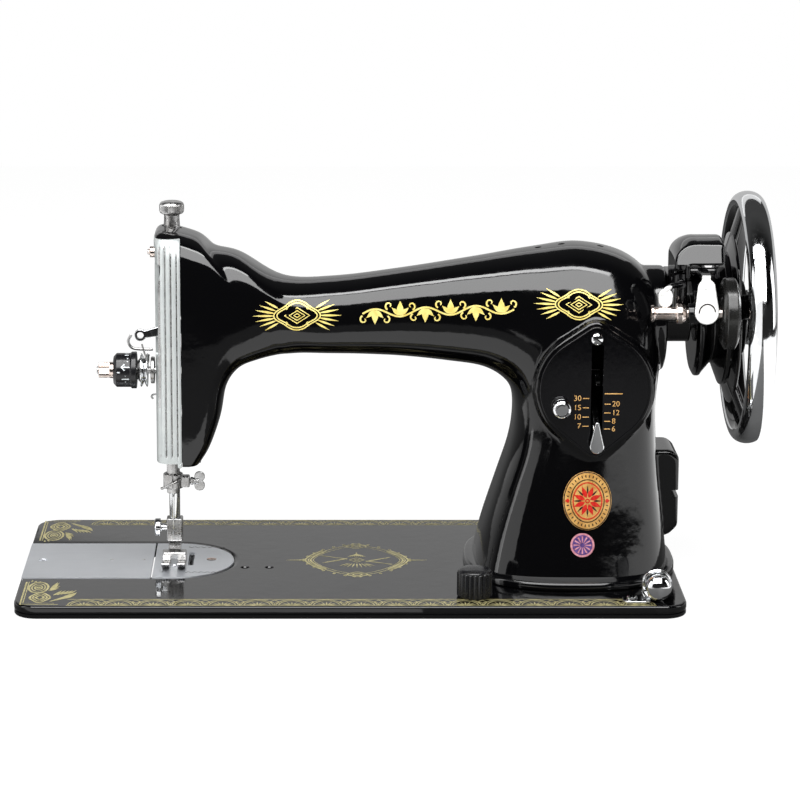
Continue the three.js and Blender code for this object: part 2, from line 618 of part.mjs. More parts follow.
function tensionNut() {
  const knurl = slab('x', fluted(4.4, 4, 14), [-141, -134.6]);
  return cut(join(knurl, rod('x', [-135, -129.3], 4.6, [0, 0, 0], 14)),
    rod('x', [-145, -120], 2.4, [0, 0, 0], 12));
}

function checkSpring() {
  return bar([[-112.8, 4, 7.6], [-112.8, 0, 8.4], [-112.8, -6.6, 6], [-114, -10.4, 10], [-116, -10, 17]],
    0.5, 12, 6);
}

function threadGuard() {
  return bar([[-111, 6.5, 10.4], [-118, 7, 10.4], [-122.7, 7, 11.4], [-124.6, 7, 15], [-123, 7, 18.6]],
    0.8, 12, 6);
}

function threadGuide() {
  const stem = rod('x', [-113.8, -105], 1.4, [0, 0, 0], 10);
  return join(stem, rod('x', [-112.4, -109.4], 3.1, [0, 0, 0], 14));
}

// ---------------------------------------------------------------- bobbin winder
// The fixed frame: a leg on the end of the arm and a hood that curves over the winder.
function winderFrame() {
  const outline = new THREE.Shape();
  outline.moveTo(177.4, 158);
  outline.lineTo(184.6, 158);
  outline.lineTo(184.6, 189.6);
  outline.lineTo(205, 189.6);
  outline.lineTo(205, 203);
  outline.lineTo(189.4, 203);
  outline.absarc(189.4, 191, 12, Math.PI / 2, Math.PI);
  outline.closePath();
  const arch = slab('y', outline, [-50, -14], 6);
  const foot = block([177.4, 184.6], [-16, 12], [166, 178]);
  const cheek = (x) => block([x, x + 2.4], [LATCH.y - 4, LATCH.y + 4], [LATCH.z - 3.6, 190]);
  return cut(join(arch, foot, cheek(183.4), cheek(199)),
    rod('x', [170, 200], 3.3, [0, WINDER.pivotY, WINDER.pivotZ], 10),
    rod('x', [170, 200], 17, [0, 0, SHAFT.z], 20),
    rod('x', [170, 210], 2.4, [0, LATCH.y, LATCH.z], 10));
}

// The swinging arm that holds the spindle's bearing.
function winderArm() {
  const [dy, dz] = [WINDER.pivotY - WINDER.y, WINDER.pivotZ - WINDER.z];
  const arm = slab('x', link([0, 0, 5.4], [dy, dz, 5.6]), [187, 193]);
  const bearing = rod('x', [183.5, 199.5], 5.4, [0, 0, 0], 14);
  const pin = rod('x', [178, 192], 3, [0, dy, dz], 12);
  return cut(join(arm, bearing, pin), rod('x', [180, 202], 3.4, [0, 0, 0], 12));
}

function winderSpindle() {
  const barrel = rod('x', [163.6, 177.4], 3.6, [0, 0, 0], 14);
  const flange = turned('x', [[0, 177], [5.2, 177], [5.6, 178], [5.6, 180.4], [4.4, 182.6], [0, 182.6]],
    [0, 0, 0], 16);
  return join(barrel, flange, rod('x', [182, 211.6], 3, [0, 0, 0], 12));
}

function winderTyre() {
  return turned('x', [[3.3, 201.6], [16, 201.6], [WINDER.tyre, 203.4], [WINDER.tyre, 209], [16, 210.8],
    [3.3, 210.8], [3.3, 201.6]], [0, 0, 0], 16);
}

// The bright teardrop in front of the winder, drawn about its hinge at the top.
function winderLatch() {
  const drop = slab('y', link([193.2, -19, 6.8], [192.4, -2.4, 3.8]), [-21, -18.4], 6);
  const neck = block([189.6, 195.2], [-19, 1], [-1.8, 1.8]);
  return join(drop, neck, rod('x', [184, 200.8], 2.1, [0, 0, 0], 10));
}

// The thin tongue that rides on the thread and stops the winder when the bobbin is full.
function winderTongue() {
  const leaf = slab('y', link([171.4, 12.6, 3.6], [171.4, 7.6, 3.4]), [-0.8, 0.8], 5);
  const stem = bar([[171.4, 0, 13], [175, 3, 14.6], [180.6, 7.6, 14.6]], 1.5, 6, 6);
  return join(leaf, stem, rod('y', [6.6, 9.7], 2.6, [180.6, 0, 14.6], 10));
}

// ---------------------------------------------------------------- small pieces on the bed
function dropKnob() {
  const grip = slab('z', fluted(9.9, 9, 16), [BED.top + GAP, 21.6]);
  const crown = turned('z', [[0, 20.6], [9, 20.6], [9, 22.6], [7.4, 23.6], [0, 24.2]], [0, 0, 0], 20);
  return join(grip, crown, rod('z', [-9, 9], 3, [0, 0, 0], 12), block([-3, 9], [-3, 3], [-10, -6]));
}

function tensionBracket() {
  const foot = slab('z', roundedRectangle([150, 165], [-85, -74], 3), [BED.top + GAP, 9.2], 3);
  const upright = slab('y', roundedRectangle([161, 174], [BED.top + GAP, 23], 4.6), [-75.6, -74], 3);
  const stud = rod('y', [-86, -74], 1.8, [BOBBIN_TENSION.x, 0, BOBBIN_TENSION.z], 10);
  return cut(join(foot, upright, stud), rod('z', [6, 12], 1.7, [155, -79.5, 0], 8));
}

function bobbinTensionDiscs() {
  return turned('y', [[2.1, -79], [5, -79], [8.2, -80], [8.2, -79.2], [5.6, -78], [8.2, -76.6],
    [8.2, -75.9], [5, -76.4], [2.1, -76.4], [2.1, -79]], [0, 0, 0], 20);
}

function ballNut() {
  const ball = new THREE.SphereGeometry(7.3, 14, 8).rotateX(Math.PI / 2).translate(0, -85.8, 0);
  const trimmed = common(ball, block([-9, 9], [-88.8, -79.3], [-9, 9]));
  return cut(trimmed, rod('y', [-86.3, -70], 2.1, [0, 0, 0], 10));
}

// ---------------------------------------------------------------- hook, drawn about its own axis
function shuttleRace() {
  const body = join(ring('x', [-113, -97], 19, 16, [0, 0, 0], 20),
    block([-111, -99], [-27.6, -14], [12.6, 17.2]), block([-108, -101], [-20, -16.4], [-4, 13]));
  return cut(body, block([-120, -90], [-14, 26], [14, 24]), block([-120, -98.6], [-7, 7], [0, 24]));
}

function shuttleHook() {
  const crescent = cut(ring('x', [-108.4, -103], 15.6, 12.2, [0, 0, 0], 20),
    slab('x', polygon([0, 0], [30, 12], [30, 30], [-8, 30]), [-120, -90]));
  const back = rod('x', [-104.4, -102], 12.6, [0, 0, 0], 20);
  return join(crescent, back, rod('x', [-120, -103], 2.4, [0, 0, 0], 10),
    rod('x', [-103, -60], 4, [0, 0, 0], 12), slab('x', link([0, 0, 7], [-12, 0, 4]), [-70, -64.5]));
}

function bobbinCase() {
  const cup = turned('x', [[2.8, -122.4], [11.4, -122.4], [11.4, -110], [10.7, -110], [10.7, -121.4],
    [2.8, -121.4], [2.8, -122.4]], [0, 0, 0], 16);
  const finger = slab('x', polygon([-2.4, 9], [2.4, 9], [1.8, 17.4], [-1.8, 17.4]), [-122.4, -121.4]);
  return join(cup, finger);
}

function bobbin() {
  return turned('x', [[2.9, -121], [10.2, -121], [10.2, -120.2], [3.8, -120.2], [3.8, -110.8],
    [10.2, -110.8], [10.2, -110], [2.9, -110], [2.9, -121]], [0, 0, 0], 14);
}

// ---------------------------------------------------------------- shafts under the bed
function rockShaft() {
  const shaft = rod('x', [-56, 131], 5, [0, 0, 0], 14);
  const crankArm = slab('x', link([0, 0, 8], [-ROCK.crank, 0, 5]), [119.4, 124.4]);
  const pin = rod('x', [124, 131.6], 3, [0, -ROCK.crank, 0], 12);
  return join(shaft, crankArm, pin, slab('x', link([0, 0, 7], [-13, 3, 3.4]), [-56, -50]));
}

// From the crank pin on the rock shaft up to the strap round the eccentric.
function connectingRod() {
  const [dy, dz] = [-ROCK.y + ROCK.crank, SHAFT.z - ROCK.z];
  const strap = slab('x', circle(25.4, dy, dz), [124.8, 130], 8);
  const eye = slab('x', circle(6, 0, 0), [124.8, 131], 6);
  const beam = slab('x', polygon([-3, 2], [3, 2], [dy + 3, dz - 24], [dy - 5, dz - 24]), [125.4, 129.6]);
  return cut(join(strap, eye, beam), slab('x', circle(21, dy, dz), [120, 135], 8),
    rod('x', [120, 135], 3.3, [0, 0, 0], 12));
}

function feedRockShaft() {
  const shaft = join(rod('x', [-98, 118], 4.4, [0, 0, 0], 12),
    slab('x', link([0, 0, 6.4], [0, FEED.arm, 3.8]), [-98, -94.4]),
    slab('x', link([0, 0, 6.4], [-16, -4, 3.8]), [113, 118]));
  return cut(shaft, rod('x', [-100, -94], 2.5, [0, 0, FEED.arm], 10));
}

// The bar under the needle plate that carries the feed dog, drawn about its pivot.
function feedBar() {
  const beam = block([-94, -87.4], [-98, 4], [-3.6, 2.6]);
  const pin = rod('x', [-99.6, -90], 2.2, [0, 0, 0], 10);
  return join(beam, pin, rod('x', [-94, -87.4], 4, [0, 0, 0], 12));
}

function feedDog() {
  const foot = join(block([-107, -84], [-58, -38], [4, 6.6]), block([-94, -84], [-58, -38], [2.9, 4.2]));
  const rows = [-106, -96.6, -91.6].map((x) => {
    const comb = [[0, 6], [0, 8.2]];
    const teeth = 8;
    for (let i = 0; i < teeth; i += 1) {
      comb.push([(i + 0.5) * 2.4, 9.1], [(i + 1) * 2.4, 8.2]);
    }
    comb.push([teeth * 2.4, 6]);
    return slab('x', polygon(...comb.map(([y, z]) => [y - 58.4, z])), [x, x + 2]);
  });
  return join(foot, ...rows);
}

function liftShaft() {
  return join(rod('x', [-98, 118], 4.4, [0, 0, 0], 12),
    slab('x', link([0, 0, 6.4], [14, 0, 3]), [-86.6, -82]),
    slab('x', link([0, 0, 6.4], [14, 0, 3.8]), [113, 118]));
}

// ---------------------------------------------------------------- assembly
const machine = new THREE.Group();

function at(x, y, z, parent = machine) {
  const group = new THREE.Group();
  group.position.set(x, y, z);
  parent.add(group);
  return group;
}

function put(parent, name, geometry, finish) {
  const closed = weld(geometry);
  closed.computeVertexNormals();
  const mesh = new THREE.Mesh(closed, new THREE.MeshStandardMaterial({ ...finish, flatShading: true }));
  mesh.name = name;
  parent.add(mesh);
  return mesh;
}

put(machine, 'bed', bed(), ENAMEL);
put(machine, 'arm_casting', armCasting(), ENAMEL);
put(machine, 'face_plate', facePlate(), CHROME);
put(machine, 'rear_cover', rearCover(), ENAMEL);
put(machine, 'needle_plate', needlePlate(), SATIN);
put(machine, 'slide_plate', slidePlate(), SATIN);

const regulator = at(REGULATOR.x, REGULATOR.front - 0.2, REGULATOR.z);
put(machine, 'regulator_plate', regulatorPlate(), ENAMEL);
put(at(0, 0, 29.6, regulator), 'regulator_screw', frontScrew(3.5, 1.5, 7, 2.6), CHROME);
put(at(-19, 0, -9.4, regulator), 'stitch_stop_knob', frontScrew(5.2, 2, 6, 7), CHROME);
put(at(LEVER.x, LEVER.y, LEVER.z), 'stitch_lever', stitchLever(), CHROME);
const badge = new THREE.SphereGeometry(1, 16, 6).scale(13.6, 2.4, 16.6);
put(machine, 'badge', common(badge.translate(132.6, -45.7, 55.4),
  block([110, 150], [-60, -46.2], [30, 80])), BADGE);
const shaftLine = at(0, 0, SHAFT.z);
put(shaftLine, 'arm_shaft', armShaft(), STEEL);
put(shaftLine, 'counterweight_crank', crank(), IRON);
put(shaftLine, 'hand_wheel', handWheel(), CHROME);
put(shaftLine, 'clutch_washer', clutchWasher(), STEEL);
put(shaftLine, 'stop_motion_screw', stopMotionScrew(), CHROME);
put(shaftLine, 'shaft_bushing_left', ring('x', [-61.6, -44], 9.5, SHAFT.radius + GAP, [0, 0, 0], 16), BRASS);
put(shaftLine, 'shaft_bushing_right', ring('x', [156, 191.6], 13.6, SHAFT.radius + GAP, [0, 0, 0], 20), IRON);

const needleLine = at(NEEDLE.x, NEEDLE.y, 0);
put(needleLine, 'needle_bar', needleBar(), STEEL);
put(needleLine, 'needle_bar_collar', needleBarCollar(), STEEL);
put(needleLine, 'needle_bar_link', needleBarLink(), STEEL);
put(needleLine, 'needle_clamp', needleClamp(), CHROME);
put(needleLine, 'needle', needle(), CHROME);
put(at(0, 0, 57.8, needleLine), 'needle_clamp_screw', clampScrew(), CHROME);

const presserLine = at(PRESSER.x, PRESSER.y, 0);
put(presserLine, 'presser_bar', presserBar(), CHROME);
put(presserLine, 'presser_bar_bracket', presserBracket(), STEEL);
put(presserLine, 'presser_spring', presserSpring(), STEEL);
put(presserLine, 'pressure_screw', pressureScrew(), CHROME);
put(presserLine, 'presser_foot', presserFoot(), CHROME);
put(presserLine, 'presser_foot_screw', footScrew(), CHROME);
put(at(-100, 16.6, 116.4), 'presser_lifter', presserLifter(), CHROME);

put(at(TAKE_UP.x, TAKE_UP.y, TAKE_UP.z), 'take_up_lever', takeUpLever(), CHROME);
const tensionLine = at(0, TENSION.y, TENSION.z);
put(tensionLine, 'tension_stud', tensionStud(), STEEL);
put(tensionLine, 'tension_disc_inner', tensionDisc(-115.2, -1.2), CHROME);
put(tensionLine, 'tension_disc_outer', tensionDisc(-115.5, 1.2), CHROME);
put(tensionLine, 'tension_dial', tensionDial(), BLACK_PLASTIC);
put(tensionLine, 'tension_nut', tensionNut(), COPPER);
put(tensionLine, 'check_spring', checkSpring(), STEEL);
put(tensionLine, 'thread_guard', threadGuard(), STEEL);
put(at(0, 4, 187.6), 'face_thread_guide', threadGuide(), CHROME);

const winder = at(0, WINDER.y, WINDER.z);
put(machine, 'winder_frame', winderFrame(), ENAMEL);
put(winder, 'winder_arm', winderArm(), ENAMEL);
put(winder, 'winder_spindle', winderSpindle(), COPPER);
put(winder, 'winder_tyre', winderTyre(), RUBBER);
put(winder, 'winder_tongue', winderTongue(), SATIN);
put(at(0, LATCH.y, LATCH.z), 'winder_latch', winderLatch(), CHROME);

put(at(DROP.x, DROP.y, 0), 'feed_drop_knob', dropKnob(), BLACK_PLASTIC);
const bobbinTension = at(BOBBIN_TENSION.x, 0, BOBBIN_TENSION.z);
put(machine, 'bobbin_tension_bracket', tensionBracket(), CHROME);
put(bobbinTension, 'bobbin_tension_discs', bobbinTensionDiscs(), CHROME);
put(bobbinTension, 'bobbin_tension_nut', ballNut(), CHROME);

const hookLine = at(0, HOOK.y, HOOK.z);
put(hookLine, 'shuttle_race', shuttleRace(), STEEL);
put(hookLine, 'shuttle_hook', shuttleHook(), CHROME);
put(hookLine, 'bobbin_case', bobbinCase(), CHROME);
put(hookLine, 'bobbin', bobbin(), SATIN);

const rockLine = at(0, ROCK.y, ROCK.z);
put(rockLine, 'rock_shaft', rockShaft(), STEEL);
put(at(0, -ROCK.crank, 0, rockLine), 'connecting_rod', connectingRod(), IRON);

const feedLine = at(0, FEED.y, FEED.z);
put(feedLine, 'feed_rock_shaft', feedRockShaft(), STEEL);
put(at(0, 0, FEED.arm, feedLine), 'feed_bar', feedBar(), STEEL);
put(at(0, 0, FEED.arm, feedLine), 'feed_dog', feedDog(), STEEL);
put(at(0, FEED.front, FEED.z), 'feed_lift_shaft', liftShaft(), STEEL);

export default machine;
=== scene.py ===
import math

import bmesh
import bpy
import numpy as np
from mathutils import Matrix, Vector
from mathutils.bvhtree import BVHTree

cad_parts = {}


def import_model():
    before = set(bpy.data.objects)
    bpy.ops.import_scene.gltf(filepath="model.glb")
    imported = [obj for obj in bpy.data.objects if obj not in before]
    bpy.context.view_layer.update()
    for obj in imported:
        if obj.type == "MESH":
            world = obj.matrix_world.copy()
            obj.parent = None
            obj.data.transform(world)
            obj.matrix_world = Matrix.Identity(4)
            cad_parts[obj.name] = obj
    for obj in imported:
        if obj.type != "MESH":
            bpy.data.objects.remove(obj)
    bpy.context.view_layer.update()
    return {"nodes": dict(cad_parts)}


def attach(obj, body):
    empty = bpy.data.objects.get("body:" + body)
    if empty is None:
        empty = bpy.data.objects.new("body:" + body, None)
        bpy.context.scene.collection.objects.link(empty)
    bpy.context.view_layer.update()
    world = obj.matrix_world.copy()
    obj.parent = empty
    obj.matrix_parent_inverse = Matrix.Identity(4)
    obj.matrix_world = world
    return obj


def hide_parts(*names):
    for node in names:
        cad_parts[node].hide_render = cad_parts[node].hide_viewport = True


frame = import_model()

# Pieces are built in millimetres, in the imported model's frame, and scaled to metres when they are done.
MM = 0.001
GAP = 0.3
SHAFT_Z = 150.8
AXLE = (0, 0, SHAFT_Z)
BED_TOP = 7.5
JOIN_DISTANCE = 1e-5
CASTING_WALL = 5
# How far gilding and engraving lie above the surface under them.
FILM = 0.03
# Meshes with more faces than this keep plain smooth shading.
HEAVY = 60000

# ------------------------------------------------------------------ mesh tools


def linked(name, data):
    """A new object of the data, in the scene."""
    piece = bpy.data.objects.new(name, data)
    bpy.context.scene.collection.objects.link(piece)
    return piece


def sheet(name, points, faces):
    data = bpy.data.meshes.new(name)
    data.from_pydata([tuple(p) for p in points], [], faces)
    return linked(name, data)


def mesh(points, faces, name="part"):
    """A closed body with its doubled points joined and its faces turned outward."""
    piece = sheet(name, points, faces)
    clean = bmesh.new()
    clean.from_mesh(piece.data)
    bmesh.ops.remove_doubles(clean, verts=clean.verts, dist=JOIN_DISTANCE)
    bmesh.ops.recalc_face_normals(clean, faces=clean.faces)
    clean.to_mesh(piece.data)
    clean.free()
    return piece


def quads(rows, count, closed=True):
    """The faces between successive rows of points; a closed row's last point joins its first."""
    return [[i * count + j, i * count + (j + 1) % count,
             (i + 1) * count + (j + 1) % count, (i + 1) * count + j]
            for i in range(rows - 1) for j in range(count if closed else count - 1)]


def modified(piece, kind, **settings):
    """The piece with one modifier made real."""
    step = piece.modifiers.new(kind.lower(), kind)
    for setting, value in settings.items():
        setattr(step, setting, value)
    graph = bpy.context.evaluated_depsgraph_get()
    graph.update()
    old = piece.data
    new = bpy.data.meshes.new_from_object(piece.evaluated_get(graph))
    piece.modifiers.clear()
    piece.data = new
    bpy.data.meshes.remove(old)
    return piece


def combine(piece, others, how):
    for other in others:
        modified(piece, "BOOLEAN", operation=how, solver="MANIFOLD", object=other)
        bpy.data.objects.remove(other)
    return piece


def join(piece, *others):
    return combine(piece, others, "UNION")


def cut(piece, *others):
    return combine(piece, others, "DIFFERENCE")


def common(piece, *others):
    return combine(piece, others, "INTERSECT")


def merged(name, *pieces):
    """Several meshes as one object, each keeping its own shells."""
    whole = bmesh.new()
    for piece in pieces:
        whole.from_mesh(piece.data)
        bpy.data.objects.remove(piece)
    data = bpy.data.meshes.new(name)
    whole.to_mesh(data)
    whole.free()
    return linked(name, data)


# ------------------------------------------------------------------ shapes


def along(axis, u, v, w):
    """A point whose outline is u, v and whose distance along the axis is w."""
    return {"x": (w, u, v), "y": (u, w, v), "z": (u, v, w)}[axis]


def rounded(profile, radius, steps=4, closed=True):
    """The polygon with its corners rounded, each by no more than its sides allow."""
    result = []
    count = len(profile)
    for i, corner in enumerate(profile):
        if not closed and i in (0, count - 1):
            result.append(tuple(corner))
            continue
        before, here, after = (
            Vector(profile[i - 1]), Vector(corner), Vector(profile[(i + 1) % count]))
        a, b = before - here, after - here
        if a.length < 1e-6 or b.length < 1e-6:
            continue
        reach = min(radius, a.length * 0.48, b.length * 0.48)
        start, end = here + a.normalized() * reach, here + b.normalized() * reach
        for k in range(steps + 1):
            t = k / steps
            point = start * (1 - t) ** 2 + here * 2 * t * (1 - t) + end * t * t
            result.append((point.x, point.y))
    return result


def turned(axis, profile, at=(0, 0, 0), sides=64, soft=0.0, name="part"):
    """A body of revolution from a list of (radius, distance along the axis)."""
    if soft:
        profile = rounded(profile, soft, closed=False)
    points, rings, faces = [], [], []
    for radius, distance in profile:
        ring = []
        for k in range(1 if radius < 1e-6 else sides):
            angle = 2 * math.pi * k / sides
            ring.append(len(points))
            u, v = radius * math.cos(angle), radius * math.sin(angle)
            points.append(Vector(along(axis, u, v, distance)) + Vector(at))
        rings.append(ring)
    for low, high in zip(rings, rings[1:]):
        for k in range(sides):
            n = (k + 1) % sides
            face = {
                low[k % len(low)]: 0, low[n % len(low)]: 0,
                high[n % len(high)]: 0, high[k % len(high)]: 0}
            if len(face) > 2:
                faces.append(list(face))
    return mesh(points, faces, name)


def rod(axis, span, radius, at=(0, 0, 0), sides=48, soft=0.0, name="part"):
    profile = [(0, span[0]), (radius, span[0]), (radius, span[1]), (0, span[1])]
    return turned(axis, profile, at, sides, soft, name)


def ring(axis, span, outer, inner, at=(0, 0, 0), sides=64, soft=0.0, name="part"):
    section = [(inner, span[0]), (outer, span[0]), (outer, span[1]), (inner, span[1])]
    if soft:
        section = rounded(section, soft)
    return turned(axis, section + [section[0]], at, sides, 0.0, name)


def inset(outline, distance):
    """The outline drawn in by a distance, corner by corner."""
    area = sum(
        p[0] * q[1] - q[0] * p[1] for p, q in zip(outline, outline[1:] + outline[:1]))
    side = 1 if area > 0 else -1
    result = []
    count = len(outline)
    for i in range(count):
        p, q, r = (Vector(outline[(i + k) % count]) for k in (-1, 0, 1))
        a, b = (q - p).normalized(), (r - q).normalized()
        normal = Vector((-(a.y + b.y), a.x + b.x)) * side
        if normal.length < 1e-6:
            normal = Vector((-a.y, a.x)) * side
        normal.normalize()
        reach = distance / max(0.5, normal.dot(Vector((-a.y, a.x)) * side))
        result.append(tuple(q + normal * reach))
    return result


def slab(axis, outline, span, edge=0.0, steps=3, name="part"):
    """A thick plate of the given outline, its two rims rounded by edge."""
    low, high = span
    layers = []
    if edge:
        for k in range(steps + 1):
            t = k * math.pi / 2 / steps
            layers.append((edge * (1 - math.sin(t)), low + edge * (1 - math.cos(t))))
        layers += [(d, high - (w - low)) for d, w in reversed(layers)]
    else:
        layers = [(0, low), (0, high)]
    return loft([[along(axis, u, v, w) for u, v in (inset(outline, depth) if depth > 1e-6 else outline)]
                 for depth, w in layers], name)


def block(x, y, z, edge=0.0, name="part"):
    if not edge:
        return slab("z", [(x[0], y[0]), (x[1], y[0]), (x[1], y[1]), (x[0], y[1])], z, name=name)
    return slab("z", rectangle(x, y, edge * 1.2, 4), z, edge, name=name)


def circle(radius, x=0.0, y=0.0, count=48):
    return [
        (x + radius * math.cos(2 * math.pi * k / count), y + radius * math.sin(2 * math.pi * k / count))
        for k in range(count)]


def arc(x, y, radius, start, end, count):
    return [
        (x + radius * math.cos(start + (end - start) * k / count),
         y + radius * math.sin(start + (end - start) * k / count))
        for k in range(count + 1)]


def rectangle(x, y, radius, count=8):
    quarter = math.pi / 2
    corners = [
        (x[1] - radius, y[0] + radius, -quarter), (x[1] - radius, y[1] - radius, 0),
        (x[0] + radius, y[1] - radius, quarter), (x[0] + radius, y[0] + radius, 2 * quarter)]
    return [p for cx, cy, a in corners for p in arc(cx, cy, radius, a, a + quarter, count)]


def link(first, second, count=20):
    """The outline of a straight link: two round ends, each (x, y, radius), and their tangents."""
    (x0, y0, r0), (x1, y1, r1) = first, second
    heading = math.atan2(y1 - y0, x1 - x0)
    lean = math.acos((r0 - r1) / math.hypot(x1 - x0, y1 - y0))
    return (arc(x1, y1, r1, heading - lean, heading + lean, count)
            + arc(x0, y0, r0, heading + lean, heading - lean + 2 * math.pi, count))


def fluted(outer, inner, flutes, count=8):
    """A round outline with soft flutes."""
    points = []
    for k in range(flutes * count):
        angle = 2 * math.pi * k / (flutes * count)
        wave = 0.5 + 0.5 * math.cos(angle * flutes)
        radius = inner + (outer - inner) * wave ** 0.6
        points.append((radius * math.cos(angle), radius * math.sin(angle)))
    return points


def smooth_line(points, steps=8):
    """A Catmull-Rom line through the points."""
    p = [np.array(q, float) for q in points]
    p = [2 * p[0] - p[1]] + p + [2 * p[-1] - p[-2]]
    result = []
    for i in range(1, len(p) - 2):
        for k in range(steps):
            t = k / steps
            result.append(0.5 * (
                2 * p[i] + (p[i + 1] - p[i - 1]) * t
                + (2 * p[i - 1] - 5 * p[i] + 4 * p[i + 1] - p[i + 2]) * t * t
                + (3 * p[i] - p[i - 1] - 3 * p[i + 1] + p[i + 2]) * t ** 3))
    result.append(p[-2])
    return result


def tube(points, radius, steps=8, sides=20, flat=(1, 1), up=(1, 0, 0), name="part"):
    """A bar along a smooth line; radius is one number or one for each end."""
    line = [Vector(p) for p in smooth_line(points, steps)]
    start, end = radius if hasattr(radius, "__len__") else (radius, radius)
    verts, faces = [], []
    up = Vector(up)
    count = len(line)
    for i, point in enumerate(line):
        ahead = (line[min(i + 1, count - 1)] - line[max(i - 1, 0)]).normalized()
        side = up.cross(ahead).normalized()
        top = ahead.cross(side).normalized()
        t = i / (count - 1)
        size = start + (end - start) * t
        for k in range(sides):
            angle = 2 * math.pi * k / sides
            verts.append(point + side * math.cos(angle) * size * flat[0]
                         + top * math.sin(angle) * size * flat[1])
    faces += quads(count, sides)
    for base, way in ((0, -1), ((count - 1) * sides, 1)):
        tip = line[0 if way < 0 else -1]
        ahead = (line[1] - line[0] if way < 0 else line[-1] - line[-2]).normalized() * way
        size = (start if way < 0 else end) * 0.5
        ringed = []
        for k in range(sides):
            verts.append(tip + (verts[base + k] - tip) * 0.72 + ahead * size * 0.6)
            ringed.append(len(verts) - 1)
        for k in range(sides):
            n = (k + 1) % sides
            faces.append([base + k, base + n, ringed[n], ringed[k]])
        faces.append(ringed)
    return mesh(verts, faces, name)


def loft(sections, name="part"):
    """A body through a row of closed sections, its two ends flat."""
    count = len(sections[0])
    points = [p for section in sections for p in section]
    ends = [list(range(count)), list(range(len(points) - count, len(points)))]
    return mesh(points, ends + quads(len(sections), count), name)


def moved(piece, offset=(0, 0, 0), turn=None):
    """The piece's mesh turned by (axis, degrees) and then moved."""
    if turn:
        from_axis, degrees = turn
        c, s = math.cos(math.radians(degrees)), math.sin(math.radians(degrees))
        pick = {"x": (1, 2), "y": (2, 0), "z": (0, 1)}[from_axis]
        for vertex in piece.data.vertices:
            a, b = vertex.co[pick[0]], vertex.co[pick[1]]
            vertex.co[pick[0]], vertex.co[pick[1]] = a * c - b * s, a * s + b * c
    for vertex in piece.data.vertices:
        vertex.co += Vector(offset)
    return piece


# ------------------------------------------------------------------ materials


class Look:
    """A node material in the making, on object coordinates in metres."""

    def __init__(self, name, color, rough, metallic=0.0, **sockets):
        self.material = bpy.data.materials.new(name)
        self.material.use_nodes = True
        self.nodes = self.material.node_tree.nodes
        self.links = self.material.node_tree.links
        self.shader = self.nodes["Principled BSDF"]
        self.shader.inputs["Base Color"].default_value = (*color, 1)
        self.shader.inputs["Roughness"].default_value = rough
        self.shader.inputs["Metallic"].default_value = metallic
        for socket, value in sockets.items():
            self.shader.inputs[socket.replace("_", " ")].default_value = value
        self.material.diffuse_color = (*color, 1)
        self.where = self.nodes.new("ShaderNodeTexCoord").outputs["Object"]
        self.height = None

    def link(self, out, into):
        self.links.new(out, into)

    def noise(self, scale, detail, stretch=(1, 1, 1)):
        place = self.nodes.new("ShaderNodeMapping")
        place.inputs["Scale"].default_value = stretch
        self.link(self.where, place.inputs["Vector"])
        texture = self.nodes.new("ShaderNodeTexNoise")
        texture.inputs["Scale"].default_value = scale
        texture.inputs["Detail"].default_value = detail
        self.link(place.outputs["Vector"], texture.inputs["Vector"])
        return texture.outputs["Fac"]

    def graded(self, value, stops):
        ramp = self.nodes.new("ShaderNodeValToRGB")
        while len(ramp.color_ramp.elements) < len(stops):
            ramp.color_ramp.elements.new(0.5)
        for element, (position, color) in zip(ramp.color_ramp.elements, stops):
            element.position = position
            element.color = (*color, 1) if hasattr(color, "__len__") else (color, color, color, 1)
        self.link(value, ramp.inputs["Fac"])
        return ramp.outputs["Color"]

    def color(self, value, stops):
        self.link(self.graded(value, stops), self.shader.inputs["Base Color"])

    def rough(self, value, stops):
        self.link(self.graded(value, stops), self.shader.inputs["Roughness"])

    def bump(self, value, strength, distance):
        node = self.nodes.new("ShaderNodeBump")
        node.inputs["Strength"].default_value = strength
        node.inputs["Distance"].default_value = distance
        self.link(value, node.inputs["Height"])
        if self.height is not None:
            self.link(self.height, node.inputs["Normal"])
        self.height = node.outputs["Normal"]
        self.link(self.height, self.shader.inputs["Normal"])


def look(name, base, rough, metallic=0.0, color=None, uneven=None, bumps=(), **sockets):
    """A node material. Colour and roughness each have a noise (scale, detail, stretch) and its two stops;
    each bump has a noise, a strength and a depth in metres."""
    made = Look(name, base, rough, metallic, **sockets)
    if color:
        made.color(made.noise(*color[0]), color[1:])
    if uneven:
        made.rough(made.noise(*uneven[0]), uneven[1:])
    for noise, strength, depth in bumps:
        made.bump(made.noise(*noise), strength, depth)
    return made.material


def gilt(name, dark, light, rough):
    return look(name, light, rough, 0.25, ((260, 5), (0.32, dark), (0.6, light)),
                ((800, 3), (0.3, rough * 0.8), (0.8, rough * 1.3)))


def ink(name, dark, light):
    return look(name, light, 0.22, 0.0, ((700, 3), (0.35, dark), (0.65, light)),
                ((500, 3), (0.3, 0.15), (0.8, 0.3)))


ENAMEL = look("black_enamel", (0.0014, 0.0014, 0.0017), 0.07, 0.0, None,
              ((60, 4), (0.35, 0.05), (0.75, 0.13)), (((140, 2), 0.22, 0.0003), ((900, 2), 0.06, 0.0001)),
              IOR=1.45, Coat_Weight=0.25, Coat_Roughness=0.03)
# The inside of the casting and the underside of the bed: thinner, duller paint.
UNDER = look("under_enamel", (0.012, 0.012, 0.013), 0.4, 0.0, None,
             ((120, 4), (0.3, 0.3), (0.8, 0.6)), (((500, 4), 0.4, 0.0003),))
CHROME = look("chrome_plate", (0.80, 0.81, 0.82), 0.07, 1.0,
              ((70, 4), (0.3, (0.74, 0.75, 0.76)), (0.7, (0.84, 0.85, 0.86))),
              ((400, 5, (1, 1, 0.25)), (0.35, 0.045), (0.8, 0.14)), (((110, 2), 0.1, 0.0002),))
